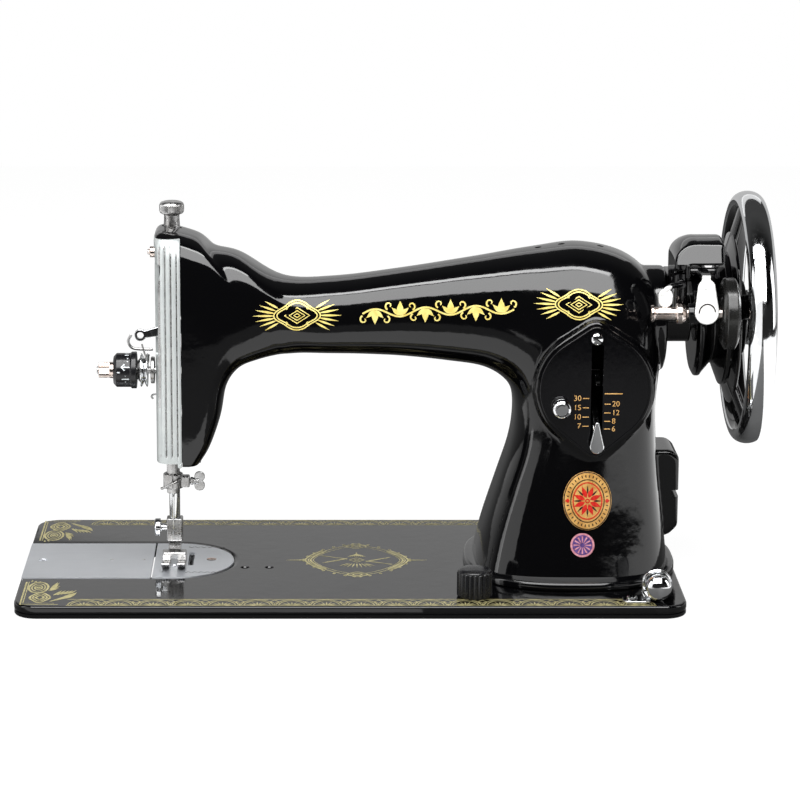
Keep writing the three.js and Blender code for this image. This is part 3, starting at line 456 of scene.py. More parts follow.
# Brushed bright sheet, paler and softer than turned chrome.
SHEET = look("sheet_chrome", (0.80, 0.82, 0.82), 0.42, 0.5,
             ((60, 4), (0.25, (0.49, 0.52, 0.52)), (0.7, (0.60, 0.63, 0.62))),
             ((260, 5, (1, 1, 0.15)), (0.3, 0.36), (0.8, 0.5)), (((200, 3), 0.08, 0.0002),))
# Polished but slightly milky plating.
NICKEL = look("milky_nickel", (0.9, 0.9, 0.89), 0.3, 0.25,
              ((90, 4), (0.3, (0.84, 0.84, 0.82)), (0.7, (0.94, 0.94, 0.93))),
              ((500, 4), (0.3, 0.22), (0.8, 0.38)))
SATIN = look("satin_nickel", (0.68, 0.70, 0.73), 0.34, 0.85,
             ((40, 4), (0.3, (0.64, 0.66, 0.69)), (0.75, (0.70, 0.72, 0.75))),
             ((700, 4, (0.05, 1, 1)), (0.3, 0.32), (0.75, 0.42)),
             (((1600, 2, (0.04, 1, 1)), 0.07, 0.00005),))
STEEL = look("ground_steel", (0.50, 0.50, 0.50), 0.3, 1.0,
             ((150, 5), (0.3, (0.36, 0.35, 0.34)), (0.7, (0.60, 0.60, 0.60))),
             ((500, 4), (0.3, 0.2), (0.8, 0.42)), (((1500, 2, (1, 0.2, 1)), 0.1, 0.00005),))
IRON = look("bare_iron", (0.10, 0.10, 0.10), 0.5, 0.8,
            ((180, 5), (0.3, (0.06, 0.058, 0.056)), (0.7, (0.15, 0.15, 0.15))),
            ((300, 4), (0.3, 0.38), (0.8, 0.65)), (((700, 4), 0.3, 0.0002),))
COPPER = look("rosy_plate", (0.80, 0.68, 0.61), 0.2, 1.0,
              ((220, 5), (0.3, (0.70, 0.56, 0.49)), (0.65, (0.87, 0.79, 0.74))),
              ((500, 4), (0.3, 0.12), (0.8, 0.3)))
BRASS = look("turned_brass", (0.74, 0.58, 0.26), 0.28, 1.0,
             ((200, 5), (0.3, (0.55, 0.40, 0.16)), (0.7, (0.80, 0.65, 0.32))),
             ((600, 4), (0.3, 0.2), (0.8, 0.4)))
PLASTIC = look("moulded_black", (0.005, 0.005, 0.006), 0.26, 0.0, None,
               ((500, 4), (0.3, 0.2), (0.8, 0.32)), (((2200, 2), 0.12, 0.00005),))
SATIN_BLACK = look("satin_black", (0.002, 0.002, 0.0025), 0.1, 0.0, None,
                   ((400, 5), (0.3, 0.07), (0.75, 0.14)), (((300, 2), 0.10, 0.0002),))
RUBBER = look("black_rubber", (0.006, 0.006, 0.006), 0.25, 0.0,
              ((90, 5), (0.3, (0.004, 0.004, 0.004)), (0.8, (0.010, 0.010, 0.009))),
              ((900, 4), (0.3, 0.16), (0.8, 0.32)), (((1800, 4), 0.08, 0.0001),))
ARM_GILT = gilt("bright_gilt", (0.78, 0.60, 0.14), (0.95, 0.80, 0.27), 0.34)
BED_GILT = gilt("dull_gilt", (0.26, 0.235, 0.10), (0.46, 0.41, 0.20), 0.42)
SCALE_GILT = gilt("scale_gilt", (0.62, 0.34, 0.10), (0.80, 0.48, 0.18), 0.4)
BADGE_GOLD = gilt("badge_gold", (0.50, 0.25, 0.06), (0.72, 0.42, 0.13), 0.3)
RED = ink("badge_red", (0.42, 0.012, 0.010), (0.60, 0.03, 0.02))
DARK_INK = ink("dark_ink", (0.010, 0.008, 0.007), (0.03, 0.02, 0.018))
PINK = ink("disc_pink", (0.42, 0.16, 0.20), (0.62, 0.30, 0.34))
VIOLET = ink("disc_violet", (0.05, 0.03, 0.12), (0.13, 0.07, 0.24))
WHITE = ink("mark_white", (0.55, 0.60, 0.62), (0.72, 0.76, 0.78))


def done(piece, looks, body="machine", stands_for=None, angle=32):
    """Gives a finished piece its looks, scales it to metres and puts it on its body.
    A piece called NODE_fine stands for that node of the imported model."""
    looks = looks if isinstance(looks, list) else [looks]
    data = piece.data
    for vertex in data.vertices:
        vertex.co *= MM
    kept = [face.material_index for face in data.polygons]
    data.materials.clear()
    for material in looks:
        data.materials.append(material)
    for face, index in zip(data.polygons, kept):
        face.material_index = min(index, len(looks) - 1)
    data.polygons.foreach_set("use_smooth", [True] * len(data.polygons))
    data.set_sharp_from_angle(angle=math.radians(angle))
    data.update()
    if len(data.polygons) < HEAVY:
        modified(piece, "WEIGHTED_NORMAL", keep_sharp=True, weight=80)
    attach(piece, body)
    if piece.name.endswith("_fine"):
        stands_for = piece.name.removesuffix("_fine")
    if stands_for:
        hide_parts(stands_for)
    return piece


def paint(piece, where=lambda centre, normal: True):
    """Gives the second look to the faces whose centre and normal pass the test, or to all of them."""
    while len(piece.data.materials) < 2:
        piece.data.materials.append(None)
    for face in piece.data.polygons:
        if where(face.center, face.normal):
            face.material_index = 1
    return piece


def nowhere(centre, normal):
    """Paints no face, and only makes room for the second look of the pieces joined or cut later."""
    return False


def refined(node, body, finish):
    """A CAD node's own shape with softened edges."""
    piece = linked(node + "_fine", frame["nodes"][node].data.copy())
    for vertex in piece.data.vertices:
        vertex.co /= MM
    clean = bmesh.new()
    clean.from_mesh(piece.data)
    bmesh.ops.remove_doubles(clean, verts=clean.verts, dist=0.002)
    bmesh.ops.dissolve_limit(clean, angle_limit=0.01, verts=clean.verts, edges=clean.edges)
    clean.to_mesh(piece.data)
    clean.free()
    modified(piece, "BEVEL", width=0.35, segments=2, limit_method="ANGLE", angle_limit=math.radians(40),
             use_clamp_overlap=True, harden_normals=False)
    return done(piece, finish, body, angle=38)


# ------------------------------------------------------------------ arm casting

# Rows of the bent loft: inner point x, z, outer point x, z, half depth, squareness of the section.
STATIONS = [
    (-84.5, 70, -109, 70, 27.5, 5), (-78.5, 80, -109, 90, 28, 5), (-72.6, 97, -109, 118, 28, 5),
    (-69.2, 114.4, -109, 155, 28, 5), (-62, 124.6, -109, 186, 28, 4.8),
    (-51, 129, -107.5, 201.8, 27.5, 4.4), (-40, 131.2, -87, 198.8, 26.5, 3.6),
    (-34, 131.6, -77, 191.4, 26, 3.3), (-26, 131.8, -62, 187.6, 25.5, 3),
    (-12, 131.4, -37.5, 174.2, 24.5, 2.7), (6, 131, -8, 173.9, 24, 2.6),
    (30, 129.8, 30, 178.7, 24.5, 2.6), (55, 127.2, 70, 185, 27, 2.6), (75, 124.2, 104, 190.6, 31, 2.7),
    (87.5, 117, 131, 193.2, 35.5, 2.8), (92.3, 107.5, 158, 185.4, 38.5, 3),
    (93, 93, 173.5, 166, 40, 3.2), (90.5, 77, 175, 132, 41, 3.2), (83.8, 56, 173, 101, 42, 3.2),
    (76.5, 33, 175.5, 62, 45, 3.2), (71.8, 14, 180, 26, 49, 3.2), (70.5, 8.1, 181.6, 8.1, 51, 3.2),
]


def superellipse(half_u, half_v, square, count):
    """Points round a superellipse, evenly spaced along it."""
    angles = np.linspace(0, 2 * np.pi, 1441)
    u = half_u * np.sign(np.cos(angles)) * np.abs(np.cos(angles)) ** (2 / square)
    v = half_v * np.sign(np.sin(angles)) * np.abs(np.sin(angles)) ** (2 / square)
    gone = np.concatenate([[0], np.cumsum(np.hypot(np.diff(u), np.diff(v)))])
    even = np.linspace(0, gone[-1], count, endpoint=False)
    return np.interp(even, gone, u), np.interp(even, gone, v)


def arm_sections(wall=0.0, steps=6, count=120):
    sections = []
    for x0, z0, x1, z1, depth, square in smooth_line(STATIONS, steps):
        span = math.hypot(x1 - x0, z1 - z0)
        u, v = superellipse(span / 2 - wall, depth - wall, square, count)
        sections.append([
            ((x0 + x1) / 2 + (x1 - x0) / span * a, b, (z0 + z1) / 2 + (z1 - z0) / span * a)
            for a, b in zip(u, v)])
    return sections


def arm_hollow():
    """The room inside the casting."""
    sections = arm_sections(CASTING_WALL, 3, 72)
    below = [(x, y, z - 12) for x, y, z in sections[-1]]
    return paint(loft(sections + [below]))


def regulator_outline(grow):
    x, z, radius = 136, 118.4, 31 + grow
    top, bottom = (29.5, 6.5 + grow), (30, 8 + grow)
    up, down = math.pi / 2, -math.pi / 2
    a, b = (math.acos((radius - lobe[1]) / lobe[0]) for lobe in (top, bottom))
    return (arc(x, z + top[0], top[1], up - a, up + a, 10)
            + arc(x, z, radius, up + a, down - b + 2 * math.pi, 40)
            + arc(x, z - bottom[0], bottom[1], down - b, down + b, 12)
            + arc(x, z, radius, down + b, up - a, 40))


# x and height of the oil holes along the top of the arm.
OIL_HOLES = [(106, 192), (119, 194), (141, 192)]


def arm_casting():
    skin = loft(arm_sections(), name="arm_casting_skin")
    join(
        skin,
        rod("x", (150, 177), 29.5, AXLE, sides=96, soft=1.5),
        slab("y", regulator_outline(2.6), (-42.3, -26), 1.2),
        rod("y", (26, 43.5), 29, (136, 0, 104), sides=96, soft=1.2),
        slab("y", rounded([(150, 72), (185, 72), (189.5, 68), (189.5, 27), (184, 21.5), (150, 21.5)], 2),
        (4, 38), 1.5))
    modified(skin, "REMESH", mode="VOXEL", voxel_size=0.9)
    modified(skin, "SMOOTH", factor=0.5, iterations=9)
    paint(skin, nowhere)
    level = [
        [(126 + u, v, z) for u, v in zip(*superellipse(60 - d, 62 - d, 2.5, 120))]
        for z, d in ((7.8, 0.5), (8.3, 0), (10.8, 0), (11.8, 0.4), (12.4, 1.2), (12.5, 1.8))]
    foot = loft(level)
    head = common(arm_hollow(), block((-108, 200), (-60, 60), (76, 230)))
    lower = common(arm_hollow(), block((60, 200), (-60, 60), (-10, 77)))
    bore = common(arm_hollow(), block((60, 200), (-60, 60), (-10, 30)))
    wall = common(loft(arm_sections(1.5, 2, 60)), block((-62, -50), (-40, 40), (125, 200)))
    join(skin, foot)
    cut(skin, head, lower, bore, block((-120, -94), (-40, 40), (0, 199.4)))
    join(skin, wall)
    for z in ((70, 78.5), (152, 160)):
        join(skin, block((-105.6, -95), (-16, 15), z, 0.8))
        join(skin, block((-97, -92), (14, 24), z))
    join(skin, block((-96, -84), (-16, 24), (70, 78.5)))
    join(skin, block((-93, -86), (20.4, 24), (152, 160)))
    join(skin, rod("y", (-27, -23), 4.6, (-84, 0, 152), sides=32))
    cut(skin,
        rod("x", (-70, -40), 9.8, AXLE),
        rod("x", (150, 200), 13.9, AXLE),
        rod("z", (60, 165), 3.9, (-100, -10, 0)),
        rod("z", (60, 165), 3.4, (-100, 6, 0)),
        rod("z", (190, 210), 5.6, (-100, 6, 0)),
        block((132.8, 140.6), (-60, -30), (89, 145)),
        rod("y", (-60, -36), 1.9, (136, 0, 148)),
        rod("y", (-60, -36), 2.4, (117, 0, 109)),
        rod("y", (36, 50), 22, (136, 0, 104), sides=64),
        rod("x", (170, 200), 3, (0, 21, 56)),
        block((185, 195), (0, 40), (44.5, 48.5)))
    for x, z in OIL_HOLES:
        cut(skin, rod("z", (z - 6, z + 8), 1.9, (x, 0, 0), sides=24))
    return done(skin, [ENAMEL, UNDER], stands_for="arm_casting", angle=38)


# The face plate's front flange lies in front of this.
FLANGE_Y = -18


def face_plate(surface):
    """Sheet wrapped round the left end of the head, with flutes pressed into its front flange."""
    edge = -94.3
    front = [edge - 0.2 * k for k in range(46)]
    turn = [math.radians(a) for a in np.linspace(-171.4, -8.6, 90)]
    grooves = ((-106.2, 0.34), (-102.9, 0.5), (-99.6, 0.5), (-96.4, 0.34))
    sections = []
    levels = [72, 72.3] + list(np.linspace(73, 198.3, 90)) + [198.8, 199.1]
    for z in levels:
        row = []

        def cast(start, way):
            row.append(surface.ray_cast(Vector(start), Vector(way))[:2])

        for x in front:
            cast((x, -60, z), (0, 1, 0))
        for angle in turn:
            across, ahead = abs(math.sin(angle)), math.cos(angle)
            cast((edge - 5 - 90 * across, 90 * ahead, z), (across, -ahead, 0))
        for x in reversed(front):
            cast((x, 60, z), (0, -1, 0))
        outside, inside = [], []
        fade = min(1, max(0, z - 75.5)) * min(1, max(0, 196.4 - z))
        for hit, normal in row:
            flat = Vector((normal.x, normal.y, 0)).normalized()
            sink = 0.0
            if hit.y < FLANGE_Y:
                for x, width in grooves:
                    sink += 0.9 * math.exp(-((hit.x - x) / width) ** 2)
            lip = 0.35 * math.exp(-((hit.x - edge) / 0.5) ** 2)
            outside.append(hit - flat * (sink * fade + lip))
            inside.append(hit - flat * 2.0)
        sections.append(outside + inside[::-1])
    rows, count = len(sections), len(sections[0])
    ends = [[base + j, base + j + 1, base + count - 2 - j, base + count - 1 - j]
            for base in (0, (rows - 1) * count) for j in range(count // 2 - 1)]
    piece = mesh([p for section in sections for p in section], quads(rows, count) + ends, "face_plate_fluted")
    cut(piece,
        slab("x", rectangle((-23.4, -19), (133, 186), 2.1, 8), (-115, -100)),
        slab("y", rectangle((-104.6, -95.4), (84, 152), 4.4, 8), (22, 32)),
        rod("x", (-115, -100), 3.3, (0, -15, 123.6)),
        rod("x", (-115, -100), 1.7, (0, 4, 187.6)),
        rod("x", (-115, -100), 1.7, (0, 4, 80)))
    # The faces in the flutes get the darker ground-steel look: painted shade along the grooves.
    paint(piece, lambda centre, normal: centre.y < FLANGE_Y and 76 < centre.z < 196
          and any(abs(centre.x - x) < 0.75 * width for x, width in grooves))
    return done(piece, [SHEET, STEEL], stands_for="face_plate", angle=40)


def face_plate_foot():
    """The narrow lip at the face plate's lower edge."""
    lip = block((-96.6, -94.4), (-27.6, -24.6), (69.6, 71.9), 0.4, name="face_plate_foot")
    return done(lip, SHEET)


# ------------------------------------------------------------------ bed


def bed():
    def outline(inward):
        return rectangle((-185.5 + inward, 185.5 - inward), (-89 + inward, 89 - inward),
                         13 - inward / 2, 10)

    profile = [
        (1.5, 0), (0.5, 0.3), (0.1, 0.9), (0.1, 2.5), (0.7, 2.9), (0.7, 3.5), (0.0, 3.9),
        (0.0, 6.2), (0.2, 6.9), (0.7, 7.35), (1.5, BED_TOP)]
    piece = loft([[(x, y, z) for x, y in outline(inward)] for inward, z in profile], name="bed_casting")
    paint(piece, nowhere)
    hollow = slab("z", outline(9), (-1, 3.5))
    cut(piece, paint(hollow))
    for x, y in (((-12, 12), (-84, 84)), ((-182, -54), (-44, -38)),
                 ((-182, -54), (42, 48)), ((-60, -54), (-44, 48))):
        join(piece, paint(block(x, y, (0, 4))))
    for x, y, z, radius in ((-30, 8, -18, 5), (80, 8, -18, 5), (-70, 52, -16, 4.4), (86, 52, -16, 4.4),
                            (-70, -62, -16, 4.4), (86, -62, -16, 4.4), (-77, -10, -14, 4)):
        reach = radius + 3.5
        lug = slab("x", rounded([(y - reach, z - reach), (y + reach, z - reach),
                                        (y + reach + 2, 4), (y - reach - 2, 4)], 5, 6), (x - 6, x + 6))
        join(piece, paint(lug))
        cut(piece, rod("x", (x - 9, x + 9), radius + GAP, (0, y, z)))
    for x in (-108, 108):
        join(piece, block((x - 11, x + 11), (64, 88.4), (-9, 4)))
        cut(piece, rod("y", (60, 95), 4.75, (x, 0, -3)))
    cut(piece,
        slab("z", plate_outline(-6, -178), (-1, 9)),
        loft([[(u, v, z) for u, v in plate_outline(grow, -200)]
                        for grow, z in ((0.7, 5.6), (0.8, 6.5), (3.6, BED_TOP + 0.01), (3.7, 9))]),
        block((-101, -83.5), (-66, 66), (-30, 3)),
        block((98, 150), (-34, 34), (-1, 9)),
        rod("z", (-1, 9), 3.4, (69, -69, 0)))
    for x in (-59.4, -45.5):
        sink = turned("z", [(0, 3), (2.0, 3), (2.0, 6.6), (2.6, 7.3), (2.8, 9), (0, 9)], (x, -13.3, 0),
            sides=32)
        cut(piece, sink)
    return done(piece, [ENAMEL, UNDER], stands_for="bed", angle=36)


def plate_outline(grow, start):
    """The outline that the slide and needle plates fill: open at the left, half round at the right."""
    middle, half = 1.75, 34.75 + grow
    centre = -66 - 34.75
    return ([(start, middle - half)] + arc(centre, middle, half, -math.pi / 2, math.pi / 2, 64)
            + [(start, middle + half)])


def needle_plate():
    outline = plate_outline(0, -111.6)
    piece = slab("z", outline, (5.9, BED_TOP), 0.25, 2, name="needle_plate_fine")
    for x in (-106.5, -97.2, -92.2):
        cut(piece, slab("z", rectangle((x, x + 3.2), (-9, 17), 0.7, 4), (4, 9)))
    cut(piece,
        turned("z", [(0, 4), (1.4, 4), (1.4, 7), (1.9, 7.6), (0, 7.6)], (-100, -10, 0), sides=32),
        turned("z", [(0, 4), (1.6, 4), (1.6, 6.4), (3.3, 7.6), (3.3, 9), (0, 9)], (-79, 3.6, 0), sides=40))
    for k in range(7):
        x = -90 + 1.6 * k if k < 6 else -80
        cut(piece, block((x, x + 0.25), (-22 if k % 2 else -24, -18), (7.35, 8)))
    done(piece, SATIN)
    screw = turned("z", [(0, 6.5), (1.5, 6.5), (3.1, 7.35), (2.6, 7.7), (0, 7.8)], (-79, 3.6, 0), sides=40,
        name="needle_plate_screw")
    cut(screw, block((-83, -75), (3.2, 4.0), (7.3, 8)))
    done(screw, COPPER)
    strokes = []
    for y, way in ((-24, 1), (29, -1)):
        for k in range(6):
            x = -93 + 3.6 * k
            strokes.append([(x, y), (x + 1.5, y + way * 1.8), (x + 3.0, y + way * 0.4)])
    ribbons("needle_plate_engraving", strokes, 0.6, lambda u, v: (u, v, BED_TOP + FILM), DARK_INK,
        out=(0, 0, 1))


def slide_plate():
    piece = slab("z", rectangle((-185.5, -112.5), (-33, 36.5), 0.6, 4), (5.9, BED_TOP), 0.25, 2,
        name="slide_plate_fine")
    cut(piece, turned("z", [(0, 4), (2.2, 4), (2.2, 6.8), (2.8, 8), (0, 8)], (-176, 1.6, 0), sides=40))
    done(piece, SATIN, "slide_plate")
    rivets = [turned("z", [(0, 7.4), (1.05, 7.4), (0.9, 7.56), (0, 7.62)], (x, 2.6, 0), sides=24)
              for x in (-136.4, -118)]
    done(merged("slide_plate_rivets", *rivets), STEEL, "slide_plate")


# ------------------------------------------------------------------ gilding


# The bed's gilding is drawn finer than the arm's.
FINE_LINE = 0.72


def ribbons(name, lines, width, place, finish, body="machine", out=(0, -1, 0)):
    """Flat strips along lines drawn in (u, v), each put on a surface by place. A line may carry its own
    widths. Neighbouring lines lie at slightly different heights, so that no two faces share a plane."""
    points, faces = [], []
    for number, line in enumerate(lines):
        lift = Vector(out) * 0.004 * (number % 12)
        line = [tuple(p) for p in line]
        closed = math.dist(line[0][:2], line[-1][:2]) < 1e-6
        base, count = len(points), len(line)
        for i, p in enumerate(line):
            before, after = line[max(i - 1, 0)], line[min(i + 1, count - 1)]
            if closed and i == 0:
                before = line[-2]
            if closed and i == count - 1:
                after = line[1 % count]
            dx, dy = after[0] - before[0], after[1] - before[1]
            size = math.hypot(dx, dy) or 1
            half = (p[2] if len(p) > 2 else width) / 2
            for side in (-half, half):
                points.append(Vector(place(p[0] - dy / size * side, p[1] + dx / size * side)) + lift)
        for a in range(base, base + 2 * count - 2, 2):
            faces.append([a, a + 1, a + 3, a + 2])
    return done(sheet(name, points, faces), finish, body)


def leaf(x, y, heading, length, width):
    """A pointed leaf as one line of changing width."""
    c, s = math.cos(heading), math.sin(heading)
    return [(x + c * length * t, y + s * length * t, 0.12 + width * math.sin(math.pi * t ** 0.75) ** 1.2)
            for t in np.linspace(0, 1, 9)]


def scroll(x, y, radius, start, sweep, width, flip=1, count=18):
    """A curl that winds in on itself."""
    line = []
    for k in range(count):
        t = k / (count - 1)
        angle = start + flip * sweep * t
        size = radius * (1 - 0.72 * t)
        line.append((x + size * math.cos(angle), y + size * math.sin(angle), width * (1 - 0.4 * t)))
    return line


def loop(half_u, half_v, wave, count=64, x=0.0, y=0.0):
    line = []
    for k in range(count + 1):
        t = 2 * math.pi * (k % count) / count
        swell = 1 + wave * math.cos(4 * t)
        line.append((x + half_u * swell * math.cos(t), y + half_v * swell * math.sin(t)))
    return line


def lozenge(half_u, half_v, x=0.0, y=0.0):
    return [(x - half_u, y), (x, y + half_v), (x + half_u, y), (x, y - half_v), (x - half_u, y)]


def cartouche(x, y):
    """A round-lobed frame about a lozenge with leaves fanning out at both sides."""
    lines = [loop(11.8, 7.4, 0.10, 72, x, y), loop(10.2, 6.2, 0.10, 72, x, y)]
    lines += [lozenge(7.0, 4.4, x, y), lozenge(4.4, 2.7, x, y), lozenge(1.8, 1.1, x, y)]
    for side in (-1, 1):
        lines.append(scroll(x + side * 6.2, y + 4.0, 1.5, 0.4 if side > 0 else 2.7, 4.4, 0.5, side))
        lines.append(scroll(x + side * 6.2, y - 4.0, 1.5, -0.4 if side > 0 else -2.7, 4.4, 0.5, -side))
        for k in range(-3, 4):
            heading = (0 if side > 0 else math.pi) + side * k * 0.17
            size = 12.0 - abs(k) * 1.1
            lines.append(leaf(x + side * (12.6 - 0.25 * k * k), y + k * 1.35, heading, size, 1.05))
    return lines


def vine(start, end, y0, y1):
    """A running vine between two points: a waving stem with broad leaves above and below it."""
    lines = []
    stem = []
    waves = 6
    for k in range(121):
        t = k / 120
        u = start + (end - start) * t
        v = y0 + (y1 - y0) * t + 2.3 * math.sin(2 * math.pi * waves / 2 * t)
        stem.append((u, v, 1.0))
    lines.append(stem)
    for k in range(waves):
        t = (k + 0.5) / waves
        u = start + (end - start) * t
        v = y0 + (y1 - y0) * t
        way = 1 if k % 2 else -1
        for lean, size, width in ((0.0, 6.6, 3.6), (0.85, 5.2, 2.4), (-0.85, 5.2, 2.4)):
            lines.append(leaf(u, v - way * 1.6, way * math.pi / 2 + lean, size + 1.2, width))
        lines.append(scroll(u + 6.2, v + way * 3.6, 2.3, -way * 1.2, 5.2, 1.0, way))
        lines.append(scroll(u - 6.2, v + way * 3.6, 2.3, math.pi + way * 1.2, 5.2, 1.0, -way))
    return lines


def lace_border(x0, x1, y0, y1):
    """A band of fans under double arches between two lines, along X."""
    lines = [[(x0, y0), (x1, y0)], [(x0, y1), (x1, y1)]]
    count = round((x1 - x0) / 19)
    pitch, height = (x1 - x0) / count, y1 - y0
    for k in range(count):
        x = x0 + (k + 0.5) * pitch
        for reach, rise in ((0.46, 0.92), (0.38, 0.76)):
            lines.append([(x + pitch * reach * math.cos(a), y0 + height * rise * math.sin(a))
                          for a in np.linspace(0.12, math.pi - 0.12, 18)])
        for a in np.linspace(0.35, math.pi - 0.35, 7):
            start = (x + 1.2 * math.cos(a), y0 + 0.8 * math.sin(a))
            lines.append(leaf(*start, a, height * 0.5, 1.1))
        edge = x + pitch / 2
        if k < count - 1:
            lines.append(lozenge(2.2, height * 0.24, edge, y0 + height * 0.62))
            lines.append(leaf(edge, y0 + height * 0.02, math.pi / 2, height * 0.3, 1.4))
    return lines


def feather(x, y, heading, length, bend, width):
    """A leaf whose midrib turns by bend along its length."""
    line, count = [], 12
    for k in range(count + 1):
        t = k / count
        line.append((x, y, 0.15 + width * math.sin(math.pi * t ** 0.7) ** 1.1))
        x += math.cos(heading + bend * t) * length / count
        y += math.sin(heading + bend * t) * length / count
    return line


def corner_spray(x, y, flip):
    """A ring and a framed lozenge in the corner with a fan of feathers sweeping out of them."""
    lines = []

    def add(points):
        lines.append([(x + 0.58 * p[0], y + flip * p[1], *p[2:]) for p in points])

    add([(2.0, 45, 1.3), (2.0, 2.0, 1.3), (38, 2.0, 1.3)])
    add([(4.4, 45, 0.8), (4.4, 4.4, 0.8), (34, 4.4, 0.8)])
    for radius, width in ((9.2, 1.8), (6.4, 1.2), (3.6, 1.4), (1.2, 1.6)):
        add([(15 + p[0], 34 + p[1] * 1.1, width) for p in loop(radius, radius, 0, 40)])
    for half, width in ((9.0, 1.7), (6.4, 1.3), (3.4, 1.8)):
        add([(p[0], p[1], width) for p in loop(half, half * 0.95, 0.07, 40, 19, 15)])
    for k in range(5):
        add(feather(25 + 0.6 * k, 28 + 1.6 * k, 0.25 + 0.16 * k, 11 + 1.5 * (k % 2), 0.5, 2.1))
    for k in range(8):
        add(feather(29 + 2.3 * k, 7.5 + 0.9 * k, 0.42 + 0.04 * k, 20 - 0.9 * k, 0.55, 2.3))
    for k in range(5):
        add(feather(31 + 3.4 * k, 19 + 0.8 * k, 0.75 - 0.05 * k, 12 - 0.5 * k, 0.35, 2.0))
    for k in range(3):
        add(feather(6.5 + 3.0 * k, 44.5 - 0.6 * k, 1.2 - 0.35 * k, 4.0, 0.3, 1.5))
    return lines


def medallion(x, y):
    """The pointed oval in the middle of the bed, with a spike at each side."""
    lines = []
    wide, deep, square = 28.0, 31.0, 1.5

    def rim(angle, grow):
        c, v = math.cos(angle), math.sin(angle)
        return (x + math.copysign(abs(c) ** (2 / square), c) * (wide + grow),
                y + math.copysign(abs(v) ** (2 / square), v) * (deep + grow))

    for grow, width in ((0, 0.9), (-3.0, 0.6)):
        lines.append([(*rim(2 * math.pi * (k % 96) / 96, grow), width) for k in range(97)])
    for side in (0, math.pi):
        for grow in (1.6, -1.4):
            lines.append([(*rim(side + a, grow), 1.5) for a in np.linspace(-0.75, 0.75, 24)])
        for k in range(-4, 5):
            heading = side + math.pi / 2 + k * 0.2
            foot = y + (7 if side == 0 else -7)
            lines.append(feather(x + 1.3 * k, foot, heading, 8.5 - 0.4 * abs(k), 0, 1.0))
        lines.append([(p[0], p[1], 1.1) for p in loop(5.4, 4.2, 0.1, 40, x, y + (29 if side == 0 else -29))])
        lines.append([(p[0], p[1], 1.3) for p in loop(2.4, 1.9, 0, 30, x, y + (29 if side == 0 else -29))])
        way = 1 if side == 0 else -1
        for k in range(7):
            lines.append(feather(x + way * (5 + 1.9 * k), y + way * (1.2 * k - 4), side + 0.85,
                7.5 - 0.5 * k, -0.3, 1.2))
            lines.append(feather(x + way * (5 + 2.1 * k), y - way * (1.0 * k + 1.5), side - 0.55,
                6.5 - 0.4 * k, 0.3, 1.2))
        lines.append([(x + way * (29 + 11.5 * t), y, 2.4 * (1 - t) + 0.3) for t in np.linspace(0, 1, 10)])
    lines += [lozenge(4.2, 4.8, x, y), lozenge(1.6, 1.9, x, y)]
    for k in range(28):
        u, v = rim(2 * math.pi * (k + 0.5) / 28, 2.6)
        lines.append(lozenge(0.8, 1.0, u, v))
    return lines


def gild(surface):
    def on_front(u, v):
        hit, normal, _, _ = surface.ray_cast(Vector((u, -150, v)), Vector((0, 1, 0)))
        return hit + normal * 0.06

    def on_bed(u, v):
        return (u, v, BED_TOP + FILM)

    for name, lines, width in (
            ("gilt_left", cartouche(-29.4, 156.8), 0.7), ("gilt_right", cartouche(126.4, 165.4), 0.7),
            ("gilt_vine", vine(7, 91, 157.6, 161.6), 0.85)):
        ribbons(name, lines, width, on_front, ARM_GILT)
    for name, lines in (
            ("gilt_border_front", lace_border(-156, 168, -87.2, -75.6)),
            ("gilt_border_back", lace_border(-154, 178, 76.4, 87.2)),
            ("gilt_corner_front", corner_spray(-182.6, -87.2, 1)),
            ("gilt_corner_back", corner_spray(-182.6, 87.2, -1)),
            ("gilt_medallion", medallion(4.7, 1.4))):
        fine = [[(*p[:2], FINE_LINE * (p[2] if len(p) > 2 else 0.95)) for p in line] for line in lines]
        ribbons(name, fine, FINE_LINE, on_bed, BED_GILT, out=(0, 0, 1))


# ------------------------------------------------------------------ stitch regulator and badge


def figure(words, x, z, y, align):
    """A generic scale figure as a flat mesh facing the front."""
    curve = bpy.data.curves.new("figure", "FONT")
    curve.body = words
    curve.size = 4.3
    curve.align_x = align
    curve.align_y = "CENTER"
    source = linked("source", curve)
    bpy.context.view_layer.update()
    data = bpy.data.meshes.new_from_object(source.evaluated_get(bpy.context.evaluated_depsgraph_get()))
    bpy.data.objects.remove(source)
    for vertex in data.vertices:
        vertex.co = Vector((x + vertex.co.x, y, z + vertex.co.y))
    return linked("figure", data)


